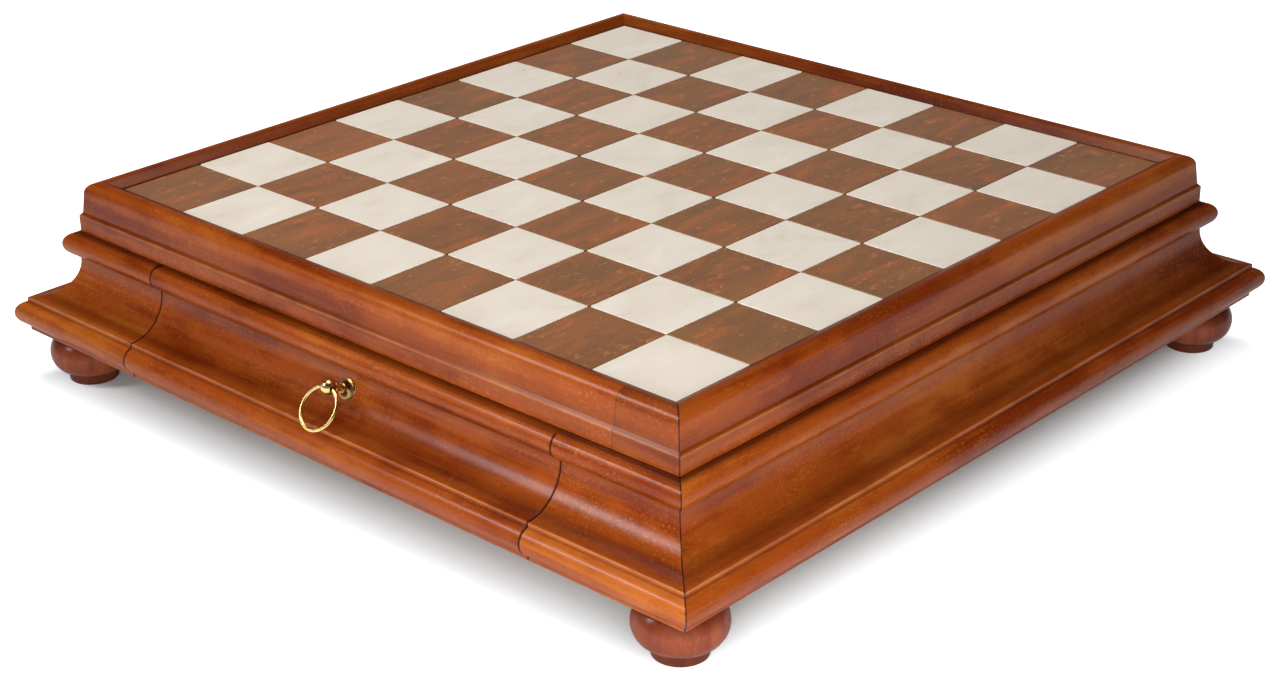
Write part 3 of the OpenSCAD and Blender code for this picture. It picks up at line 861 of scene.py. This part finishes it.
# %% Moulding tree
def moulding_tree():
    tree, given, result = new_tree("moulding run", {
        "Float": ("From", "To", "Turn", "Stain From", "Stain To", "Reach From", "Reach To", "Arris From",
                  "Arris To", "Duller"),
        "Vector": ("Own Figure",), "Material": ("Wood",)})
    body = given["Geometry"]
    ends = take(tree, "GeometryNodeFlipFaces", {"Mesh": body})
    top = True
    for _ in range(3):
        pulled = node(tree, "GeometryNodeExtrudeMesh", {"Mesh": body, "Selection": top,
                      "Offset": together(tree, X=1.0), "Individual": False})
        body, top = pulled.outputs["Mesh"], pulled.outputs["Top"]
    solid = closed(tree, body, ends)

    # Rings 0 and 1 belong to the low end of the length, and rings 2 and 3 to the high one.
    ring, out, high = apart(tree, position(tree))
    low_end = larger(tree, given["From"], times(tree, out, -1.0))
    high_end = math_node(tree, "MINIMUM", given["To"], out)
    far = above(tree, ring, 1.5)
    inner = below(tree, size_of(tree, minus(tree, ring, 1.5)), 1.0)
    into = math_node(tree, "MULTIPLY_ADD", far, -2.0, 1.0)
    on_low, on_high = below(tree, ring, 0.5), above(tree, ring, 2.5)

    def by_end(at_low, at_high, label):
        """The size of this name for the one end and for the other."""
        return plus(tree, times(tree, at_low, given[label + " From"]),
                    times(tree, at_high, given[label + " To"]))

    inset = times(tree, times(tree, inner, into), by_end(minus(tree, 1.0, far), far, "Reach"))
    along = plus(tree, math_node(tree, "MULTIPLY_ADD", far, minus(tree, high_end, low_end), low_end), inset)
    on_end = above(tree, plus(tree, on_low, on_high), 0.99)
    weight = times(tree, on_end, by_end(on_low, on_high, "Arris"))
    unrounded = times(tree, on_end, below(tree, weight, 0.5))

    marked = store(tree, solid, "end stain", by_end(on_low, on_high, "Stain"))
    crisp = take(tree, "GeometryNodeSetShadeSmooth", {"Geometry": marked, "Selection": unrounded,
                 "Shade Smooth": False}, domain="EDGE")
    dulled = store(tree, crisp, "duller", given["Duller"])
    capped = store(tree, dulled, "end face", on_end, domain="FACE")
    weighted = store(tree, capped, "bevel_weight_edge", weight, domain="EDGE")
    shaped = take(tree, "GeometryNodeSetPosition", {"Geometry": weighted,
                  "Position": together(tree, X=along, Y=out, Z=high)})
    grain = vector_node(tree, "ADD", position(tree), given["Own Figure"])
    figured = store(tree, shaped, "grain", grain, kind="FLOAT_VECTOR")
    turned_to = take(tree, "GeometryNodeTransform", {"Geometry": figured,
                     "Rotation": together(tree, Z=given["Turn"])})
    return end_tree(tree, turned_to, given["Wood"], result)


moulding_run = moulding_tree()

# %% Run a length of moulding
TURNS = {"back": 0.0, "left": math.pi / 2, "front": math.pi, "right": -math.pi / 2}
# A length that stops nowhere before its mitre: any size beyond the box says so.
TO_MITRE = 1.0
# How an end is left: how much stain has gathered in it, how far that reaches, and how much of the
# arris is rounded off.
SAWN = (0.8, 0.5 * MM, 1.0)
SPLICED = (0.32, 1.0 * MM, 0.0)
MITRED = (0.1, 0.4 * MM, 0.0)
OPEN_MITRE = (0.9, 0.6 * MM, 0.0)
moulding_steps = (0.83, 0.37, 0.59)
moulding_arris = 0.4 * MM


def lay_marks(mesh, outline, hollows, wear_and_highlight_marks):
    """Marks gathered stain with painted shade, and wear with a painted highlight."""
    mark(mesh, "hollow", outline, hollows)
    mark(mesh, "wear_and_highlight", outline, wear_and_highlight_marks)


def straighten(mesh, turn, own_figure, hollows, wear_and_highlight_marks):
    """Lays the grain and the marks anew by place: a cut leaves points that have none of their own."""
    untwist = Matrix.Rotation(-turn, 4, "Z")
    places = [untwist @ point.co for point in mesh.vertices]
    mesh.attributes["grain"].data.foreach_set(
        "vector", [value for place in places for value in place + Vector(own_figure)])
    lay_marks(mesh, [(place.y, place.z) for place in places], hollows, wear_and_highlight_marks)


def run_length(name, outline, hollows, wear_and_highlight_marks, side, start, stop, ends, figure, cutter=None, duller=0.0):
    """A length of moulding on one side, from start to stop as seen from the back (+Y), baked."""
    mesh = bpy.data.meshes.new(name)
    mesh.from_pydata([(0.0, out, high) for out, high in outline], [], [tuple(range(len(outline)))])
    lay_marks(mesh, outline, hollows, wear_and_highlight_marks)
    if mesh.polygons[0].normal.x < 0:
        mesh.flip_normals()
    blank = linked(name + ".blank", mesh)
    own_figure = tuple(step * figure for step in moulding_steps)
    sizes = {"From": start, "To": stop, "Turn": TURNS[side], "Duller": duller, "Own Figure": own_figure,
             "Wood": wood_frame}
    for way, end in zip((" From", " To"), ends):
        sizes.update({label + way: size for label, size in zip(("Stain", "Reach", "Arris"), end)})
    run_tree(blank, moulding_run, sizes)
    arris(blank, moulding_arris, how="WEIGHT")
    done = baked(blank, name + "_soft", cutter, keep_sharp=True)
    if cutter:
        straighten(done.data, TURNS[side], own_figure, hollows, wear_and_highlight_marks)
    return done


def run_all(lengths, outline, hollows, wear_and_highlight_marks, first_figure, duller=()):
    """Runs lengths of one moulding and hands each over. Those named in duller are of a plainer board."""
    for figure, (name, side, start, stop, ends) in enumerate(lengths, first_figure):
        length = run_length(name, outline, hollows, wear_and_highlight_marks, side, start, stop, ends, figure,
                            duller=float(name in duller))
        placed(length, "case", "frame_wood", name)


print("ends are sawn, spliced, mitred or mitred with an open joint")

# %% [markdown]
# ## The top frame
#
# Four rails meet in mitres around the stone. The front one is made of two lengths, joined near the
# right-hand corner, as a thrifty maker does. Each length is run by the tree and then gets its
# arrises broken with a fine Bevel, because no real edge is perfectly sharp, and it is the small
# rounding that catches the light along every corner.

# %% Make the rails
splice_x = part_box("top_rail_front_end")[0].x
run_all([("top_rail_front", "front", -splice_x, TO_MITRE, (SPLICED, MITRED)),
         ("top_rail_front_end", "front", -TO_MITRE, -splice_x, (OPEN_MITRE, SPLICED)),
         ("top_rail_right", "right", -TO_MITRE, TO_MITRE, (MITRED, OPEN_MITRE)),
         ("top_rail_back", "back", -TO_MITRE, TO_MITRE, (MITRED, MITRED)),
         ("top_rail_left", "left", -TO_MITRE, TO_MITRE, (MITRED, MITRED))],
        rail_outline, rail_hollows, rail_wear_and_highlight, 1, duller=("top_rail_front_end",))

# %% [markdown]
# ## The base
#
# The base is one moulding all the way round. Two sides have it whole, and beside the drawers it is
# left in four short corner pieces. The tree is the same as for the frame, with another outline.

# %% Make the base
drawer_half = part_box("runner_right")[0].x
run_all([("side_moulding_left", "left", -TO_MITRE, TO_MITRE, (MITRED, MITRED)),
         ("side_moulding_right", "right", -TO_MITRE, TO_MITRE, (MITRED, OPEN_MITRE)),
         ("corner_moulding_front_left", "front", drawer_half, TO_MITRE, (SAWN, MITRED)),
         ("corner_moulding_front_right", "front", -TO_MITRE, -drawer_half, (OPEN_MITRE, SAWN)),
         ("corner_moulding_back_left", "back", -TO_MITRE, -drawer_half, (MITRED, SAWN)),
         ("corner_moulding_back_right", "back", drawer_half, TO_MITRE, (SAWN, MITRED))],
        base_outline, base_hollows, base_wear_and_highlight, 7)

# %% [markdown]
# ## The board
#
# Sixty-four tiles lie in mastic on a plywood board, pale and brown by turns. They are all cut to one
# size, but the outer ones keep a narrow strip that runs under the frame. The tree starts from a
# grid with one face for each square, keeps every other face, splits them apart, closes each in by
# half a joint and thickens it, so the whole chequer is one rule with two settings.

# %% Tile tree
def tile_tree():
    tree, given, result = new_tree("stone tiles", {
        "Float": ("Square", "Edge Strip", "Joint", "Bottom", "Thickness", "Odd"), "Int": ("Seed",),
        "Material": ("Stone",)})
    width = times(tree, given["Square"], 8.0)
    grid = take(tree, "GeometryNodeMeshGrid", {"Size X": width, "Size Y": width, "Vertices X": 9,
                "Vertices Y": 9})
    place = position(tree)
    square = scaled(tree, place, math_node(tree, "DIVIDE", 1.0, given["Square"]))
    column, row, _ = apart(tree, vector_node(tree, "FLOOR", square))
    parity = math_node(tree, "MODULO", plus(tree, column, plus(tree, row, 8.0)), 2.0)
    wrong = above(tree, size_of(tree, minus(tree, parity, given["Odd"])), 0.5)
    kept = take(tree, "GeometryNodeDeleteGeometry", {"Geometry": grid, "Selection": wrong}, domain="FACE")
    split = take(tree, "GeometryNodeSplitEdges", {"Mesh": kept})

    centre = take(tree, "GeometryNodeFieldOnDomain", {0: place}, data_type="FLOAT_VECTOR", domain="FACE")
    inwards = vector_node(tree, "SIGN", vector_node(tree, "SUBTRACT", centre, place))
    # The outermost points lie four squares out, so 3.9 squares is just inside them.
    edge = times(tree, given["Square"], 3.9)
    past_edge = vector_node(tree, "SUBTRACT", vector_node(tree, "ABSOLUTE", place),
                            together(tree, X=edge, Y=edge, Z=1.0))
    outer = vector_node(tree, "MAXIMUM", vector_node(tree, "SIGN", past_edge), (0.0, 0.0, 0.0))
    half_joint = times(tree, given["Joint"], 0.5)
    strip = scaled(tree, outer, times(tree, plus(tree, given["Edge Strip"], half_joint), -1.0))
    joints = together(tree, X=half_joint, Y=half_joint)
    shift = vector_node(tree, "MULTIPLY", inwards, vector_node(tree, "ADD", strip, joints))
    shift = vector_node(tree, "ADD", shift, together(tree, Z=given["Bottom"]))
    closed_in = take(tree, "GeometryNodeSetPosition", {"Geometry": split, "Offset": shift})

    own = by_chance(tree, figure_low, figure_high, given["Seed"])
    seeded = store(tree, closed_in, "own", own, kind="FLOAT_VECTOR", domain="FACE")
    toned = store(tree, seeded, "tone", by_chance(tree, 0.0, 1.0, given["Seed"]), domain="FACE")
    raised = take(tree, "GeometryNodeExtrudeMesh", {"Mesh": toned, "Offset Scale": 1.0, "Individual": False,
                  "Offset": together(tree, Z=given["Thickness"])})
    under = take(tree, "GeometryNodeFlipFaces", {"Mesh": toned})
    solid = closed(tree, raised, under)

    ends = node(tree, "GeometryNodeInputMeshEdgeVertices").outputs
    rise = apart(tree, vector_node(tree, "SUBTRACT", ends["Position 1"], ends["Position 2"]))["Z"]
    upright = above(tree, size_of(tree, rise), 1 * MM)
    near_top = math_node(tree, "MULTIPLY_ADD", given["Thickness"], 0.9, given["Bottom"])
    on_top = above(tree, apart(tree, place)["Z"], near_top)
    weight = larger(tree, upright, times(tree, on_top, 0.35))
    weighted = store(tree, solid, "bevel_weight_edge", weight, domain="EDGE")
    quarter_turn = take(tree, "ShaderNodeVectorRotate", {"Vector": place, "Angle": math.pi / 2},
                        rotation_type="Z_AXIS")
    grain = vector_node(tree, "ADD", quarter_turn, stored(tree, "own"))
    figured = store(tree, weighted, "grain", grain, kind="FLOAT_VECTOR", domain="CORNER")
    return end_tree(tree, figured, given["Stone"], result)


stone_tiles = tile_tree()

# %% Lay the tiles
square_w, joint_w, tile_arris = 38 * MM, 0.3 * MM, 1.0 * MM
tile_settings = {"Square": square_w, "Edge Strip": field - 4 * square_w, "Joint": joint_w, "Bottom": tile_z,
                 "Thickness": stone_z - tile_z}
for node_name, odd, seed, stone, slot in (("white_tiles", 1.0, 4, stone_pale, "white_stone"),
                                          ("brown_tiles", 0.0, 9, stone_brown, "brown_stone")):
    blank = linked(node_name + ".blank", bpy.data.meshes.new(node_name))
    run_tree(blank, stone_tiles, {**tile_settings, "Odd": odd, "Seed": seed, "Stone": stone})
    laid = baked(blank, node_name + ".laid")
    arris(laid, tile_arris, how="WEIGHT")
    placed(baked(laid, node_name + "_polished"), "case", slot, node_name)

# %% [markdown]
# ## Turned pieces
#
# Feet, rosettes, posts and rings come off a lathe, and a lathe has one rule: spin an outline about
# an axis. The outline is drawn as radius and height. Its first and last point lie on the axis, or it
# closes on itself round a hole, so each form is closed.

# %% Lathe
def finished_mesh(name, body):
    """An object with the mesh of body, smooth but for its sharp edges."""
    mesh = bpy.data.meshes.new(name)
    body.to_mesh(mesh)
    body.free()
    mesh.shade_smooth()
    mesh.set_sharp_from_angle(angle=math.radians(50))
    return linked(name, mesh)


def turned(name, outline, segments, closed_ring=False):
    """A piece turned about Z from an outline of (radius, height) points."""
    body = bmesh.new()
    angles = [2 * math.pi * k / segments for k in range(segments)]
    rings = []
    for radius, high in outline:
        spots = [(radius * math.cos(a), radius * math.sin(a), high) for a in angles]
        if radius < 1e-7:
            spots = [(0, 0, high)]
        rings.append([body.verts.new(spot) for spot in spots])
    pairs = list(zip(rings, rings[1:]))
    if closed_ring:
        pairs.append((rings[-1], rings[0]))
    for low, high in pairs:
        for k in range(segments):
            n = (k + 1) % segments
            corners = [low[k % len(low)], low[n % len(low)], high[n % len(high)], high[k % len(high)]]
            corners = list(dict.fromkeys(corners))
            if len(corners) > 2:
                body.faces.new(corners)
    bmesh.ops.recalc_face_normals(body, faces=body.faces)
    return finished_mesh(name, body)


def grained(obj, along="x", shift=(0, 0, 0)):
    """Stores the grain attribute, with the axis named by along as the direction of the grain."""
    order = {"x": (0, 1, 2), "y": (1, 0, 2), "z": (2, 0, 1)}[along]
    layer = obj.data.attributes.new("grain", "FLOAT_VECTOR", "POINT")
    layer.data.foreach_set("vector", [v.co[axis] + shift[k] for v in obj.data.vertices
                                      for k, axis in enumerate(order)])
    return obj


print("the lathe turns an outline about Z, and the grain is laid on afterwards")

# %% [markdown]
# ## The feet
#
# Each foot is a bun on a low disc, turned from one block with the grain standing upright, and a long
# screw goes up through it. One foot is turned on the lathe above, and a tree sets it out at the
# four corners, each turned about its own axis by chance, as they would be when they are screwed on.

# %% Turn a foot
foot_low, foot_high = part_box("foot_front_left")
foot_r = (foot_high.x - foot_low.x) / 2
foot_place = abs(foot_high.x + foot_low.x) / 2
bulb_r, bulb_up, disc_r, disc_h = 9.1 * MM, 12.9 * MM, 10.4 * MM, 4.0 * MM
disc_edge_r, disc_top_r = 0.5 * MM, 0.4 * MM
hole_r, recess_r, recess = 2.2 * MM, 4.2 * MM, 6 * MM

bulb_out = foot_r - bulb_r
lowest = -math.degrees(math.asin((bulb_up - disc_h) / bulb_r))
foot_outline = [(recess_r, 0.0)]
foot_outline += arc((disc_r - disc_edge_r, disc_edge_r), disc_edge_r, -90, 0, 4)
foot_outline += arc((disc_r - disc_top_r, disc_h - disc_edge_r), disc_top_r, 0, 80, 4)
foot_outline += arc((bulb_out, bulb_up), bulb_r, lowest, 90, 56)
foot_outline += [(bulb_out, moulding_z), (hole_r, moulding_z), (hole_r, recess), (recess_r, recess)]
foot = grained(turned("foot.pattern", foot_outline, 96, closed_ring=True), "z")
print(f"foot {foot_r * 2 / MM:.1f} mm across, {len(foot.data.polygons)} faces")

# %% Set the feet out
def set_out_tree():
    tree, given, result = new_tree("set out copies", {"Object": ("Pattern",), "Int": ("Seed",),
                                                      "Material": ("Wood",)})
    pattern = node(tree, "GeometryNodeObjectInfo", {"Object": given["Pattern"], "As Instance": True})
    spin = together(tree, Z=by_chance(tree, 0.0, 2 * math.pi, given["Seed"]))
    copies = take(tree, "GeometryNodeInstanceOnPoints", {"Points": given["Geometry"],
                  "Instance": pattern.outputs["Geometry"], "Rotation": spin})
    own = by_chance(tree, figure_low, figure_high, given["Seed"])
    shifted = store(tree, copies, "own", own, kind="FLOAT_VECTOR", domain="INSTANCE")
    real = take(tree, "GeometryNodeRealizeInstances", {"Geometry": shifted})
    grain = vector_node(tree, "ADD", stored(tree, "grain"), stored(tree, "own"))
    figured = store(tree, real, "grain", grain, kind="FLOAT_VECTOR")
    return end_tree(tree, figured, given["Wood"], result)


corner_mesh = bpy.data.meshes.new("corners")
corner_mesh.from_pydata([(x, y, 0.0) for x in (-foot_place, foot_place) for y in (-foot_place, foot_place)],
                        [], [])
feet_blank = linked("feet.blank", corner_mesh)
run_tree(feet_blank, set_out_tree(), {"Pattern": foot, "Seed": 3, "Wood": wood_feet})
feet = baked(feet_blank, "feet_turned")
bpy.data.objects.remove(foot)
placed(feet, "case", "foot_wood", "foot_front_left", "foot_front_right", "foot_back_left", "foot_back_right")

# %% [markdown]
# ## The ring pulls
#
# A brass post with a ball at its end is screwed into the cove through a small rosette. The ball is
# drilled crosswise, and the ring hangs in the hole. Ball and ring have different axes, so each is
# turned upright first and then laid on its own axis.

# %% Measure the pull
ring_low, ring_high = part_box("front_pull_ring")
pull_x = (ring_low.x + ring_high.x) / 2
pull_angle, ring_tilt = math.radians(23), math.radians(38)
stem_l, ball_r, post_r = 9.9 * MM, 3.05 * MM, 1.3 * MM
screw_l, screw_taper_l, stem_in_ball = 9 * MM, 6.5 * MM, 1.6 * MM
rosette_r, rosette_t, rosette_flare, rosette_patina = 4.3 * MM, 0.8 * MM, 2.4 * MM, 0.75
ring_r, wire_r, bore_r = 8.65 * MM, 0.75 * MM, 1.4556 * MM
collar_r, collar_h = 2.1 * MM, 0.9 * MM
pull_foot = Vector((0, base_edge - cove_r * math.cos(pull_angle), cove_z - cove_r * math.sin(pull_angle)))
pull_axis = Vector((0, math.cos(pull_angle), math.sin(pull_angle)))
ball_place = pull_foot + pull_axis * stem_l
ring_place = ball_place + Vector((0, math.sin(ring_tilt), -math.cos(ring_tilt))) * ring_r
ring_axis = Vector((0, math.cos(ring_tilt), math.sin(ring_tilt)))
print(f"pull {pull_x / MM:.1f} mm off centre, ball at a height of {ball_place.z / MM:.1f} mm")

# %% Outlines of the pull
rim, under_gap, chamfer, chamfer_turn = 0.15 * MM, 0.02 * MM, 0.12 * MM, 3
flare_top = rosette_t + rosette_flare
rosette_outline = [(0, under_gap), (rosette_r - rim, under_gap), (rosette_r, rim),
                   (rosette_r, rosette_t - rim), (rosette_r - chamfer, rosette_t)]
rosette_outline += arc((rosette_r, flare_top), rosette_flare, -94, -176, 12)
rosette_outline += [(post_r, flare_top), (0, flare_top)]
collar_low, collar_high = stem_l - ball_r - collar_h / 2, stem_l - ball_r + collar_h / 2
post_outline = [(0, -screw_l), (post_r, -screw_taper_l), (post_r, collar_low), (collar_r - rim, collar_low),
                (collar_r, collar_low + collar_h / 4), (collar_r, collar_high - collar_h / 4),
                (collar_r - rim, collar_high), (post_r, collar_high), (post_r, stem_l - stem_in_ball),
                (0, stem_l - stem_in_ball)]
ball_lip = math.asin(bore_r / ball_r)
lip_angle = 90 - math.degrees(ball_lip) - chamfer_turn
bore_end = ball_r * math.cos(ball_lip) - chamfer
ball_outline = arc((0, 0), ball_r, -lip_angle, lip_angle, 40) + [(bore_r, bore_end), (bore_r, -bore_end)]
wire_outline = arc((ring_r, 0), wire_r, 0, 345, 23)
print(f"ring {2 * (ring_r + wire_r) / MM:.1f} mm across, of {2 * wire_r / MM:.1f} mm wire")

# %% Make the pulls
def laid_on(obj, place, direction, side):
    """Lays a piece turned about Z on the line through place, off the middle, and turns it to its side."""
    stand = direction.to_track_quat("Z", "X").to_matrix().to_4x4()
    turn = Matrix.Rotation(TURNS[side], 4, "Z")
    obj.data.transform(turn @ Matrix.Translation(place - Vector((pull_x, 0, 0))) @ stand)
    obj.data.update()
    return obj


def joined(name, pieces):
    """One mesh of several closed forms."""
    body = bmesh.new()
    for piece in pieces:
        body.from_mesh(piece.data)
        bpy.data.objects.remove(piece)
    return finished_mesh(name, body)


for side in ("front", "back"):
    rosette = laid_on(turned("rosette", rosette_outline, 64), pull_foot, pull_axis, side)
    patina = rosette.data.attributes.new("patina", "FLOAT", "POINT")
    patina.data.foreach_set("value", [rosette_patina] * len(rosette.data.vertices))
    post = laid_on(turned("post", post_outline, 48), pull_foot, pull_axis, side)
    ball = laid_on(turned("ball", ball_outline, 64, closed_ring=True), ball_place, Vector((1, 0, 0)), side)
    ring = laid_on(turned("ring", wire_outline, 128, closed_ring=True), ring_place, ring_axis, side)
    post = joined("post", [post, ball])
    for name, piece, body in (("rosette", rosette, "drawer"), ("post", post, "drawer"),
                              ("ring", ring, "ring")):
        piece.data.materials.append(metal_brass)
        piece.name = f"{side}_{name}_brass"
        placed(piece, f"{side}_{body}", "brass", f"{side}_pull_{name}")

# %% [markdown]
# ## The drawer fronts
#
# The fronts are sawn out of the base moulding, so their figure and outline carry on. They differ
# only where they have to move: their top is planed down, and their rebate and groove take the
# bottom of the box and the floor of the drawer. The rosette sinks a little into the cove, and the
# screw of the post goes deeper, so a pocket is cut for both.

# %% Make the drawer fronts
body_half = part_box("front_drawer_front")[1].x
gap = drawer_z - moulding_z - bottom_t
groove, front_corner, pocket_play, least_step = 3 * MM, 0.25 * MM, 0.05 * MM, 0.1 * MM
bead_r = bead_radius(bead_h, bead_out)
planed_at = neck + bead_out - bead_r + math.sqrt(bead_r ** 2 - (drawer_top - bead_z) ** 2)
front_outline = [(inside + rebate_w + gap, moulding_z), (base_edge, moulding_z)] + cove_outline
front_outline += [(out, high) for out, high in bead(neck, bead_z, bead_h, bead_out)
                  if high < drawer_top - least_step]
front_outline += [(planed_at, drawer_top), (inside, drawer_top), (inside, felt_z), (inside + groove, felt_z),
                  (inside + groove, floor_z), (inside, floor_z), (inside, drawer_z),
                  (inside + rebate_w + gap, drawer_z)]
front_outline = spaced(rounded(front_outline, front_corner))
pocket_r = rosette_r + pocket_play
pocket_outline = [(0, -screw_l), (post_r, -screw_taper_l), (post_r, 0), (pocket_r, 0), (pocket_r, flare_top),
                  (0, flare_top)]
for figure, side in enumerate(("front", "back"), 15):
    node_name = side + "_drawer_front"
    pocket = laid_on(turned("pocket", pocket_outline, 64), pull_foot, pull_axis, side)
    piece = run_length(node_name, front_outline, base_hollows, base_wear_and_highlight, side, -body_half, body_half,
                       (SAWN, SAWN), figure, cutter=pocket)
    bpy.data.objects.remove(pocket)
    placed(piece, side + "_drawer", "frame_wood", node_name)

# %% [markdown]
# ## Boards and boxes
#
# What is left is flat work: the panels, the runners and the drawers. Their shape in the frame is
# right, but its edges are razor sharp. So each is copied, its loose triangles are merged back into
# whole faces, the grain is laid along its length, and the arrises are broken as on the mouldings.

# %% Ease a board
board_steps = (0.71, 0.43, 0.29)
merge_within = 0.01 * MM
board_arris, bottom_arris, floor_arris, felt_arris = 0.35 * MM, 0.12 * MM, 0.15 * MM, 0.1 * MM


def eased(node_name, body, along, material, slot, figure, width=board_arris):
    """A copy of a flat node with broken arrises. Its figure is a number that shifts its grain."""
    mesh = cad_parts[node_name].data.copy()
    whole = bmesh.new()
    whole.from_mesh(mesh)
    bmesh.ops.remove_doubles(whole, verts=whole.verts, dist=merge_within)
    bmesh.ops.dissolve_limit(whole, angle_limit=math.radians(1), verts=whole.verts, edges=whole.edges)
    whole.to_mesh(mesh)
    whole.free()
    mesh.materials.clear()
    mesh.materials.append(material)
    mesh.shade_smooth()
    board = linked(node_name + ".board", mesh)
    arris(board, width, 2)
    done = grained(baked(board, node_name + "_eased"), along, [step * figure for step in board_steps])
    return placed(done, body, slot, node_name)


eased("board_panel", "case", "x", wood_panel, "panel_wood", 1)
eased("bottom_panel", "case", "x", wood_panel, "panel_wood", 2, bottom_arris)
walls = [("runner_left", "y"), ("runner_right", "y"), ("centre_wall", "x")]
for figure, (node_name, along) in enumerate(walls, 3):
    eased(node_name, "case", along, wood_inner, "inner_wood", figure)

# %% The two drawers
drawer_parts = [("left_side", "y"), ("right_side", "y"), ("back", "x"), ("long_divider", "x"),
                ("cross_divider_1", "y"), ("cross_divider_2", "y"), ("cross_divider_3", "y")]
for shift, side in enumerate(("front", "back")):
    drawer = side + "_drawer"
    for figure, (part, along) in enumerate(drawer_parts, 6 + 10 * shift):
        eased(f"{drawer}_{part}", drawer, along, wood_inner, "inner_wood", figure)
    eased(drawer + "_floor", drawer, "x", wood_panel, "panel_wood", 40 + shift, floor_arris)
    lining = eased(drawer + "_felt", drawer, "x", green_felt, "felt", 50 + shift, felt_arris)

# %% [markdown]
# ## Screws
#
# The screws keep the shape that they have in the frame, heads with crossed slots and all, because
# they are small and sit in the dark. They only need their steel.

# %% Dress the screws
for node_name in ("foot_screws", "panel_screws"):
    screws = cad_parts[node_name]
    for mesh_slot in screws.material_slots:
        mesh_slot.material = metal_steel
    print(node_name, "dressed in steel")
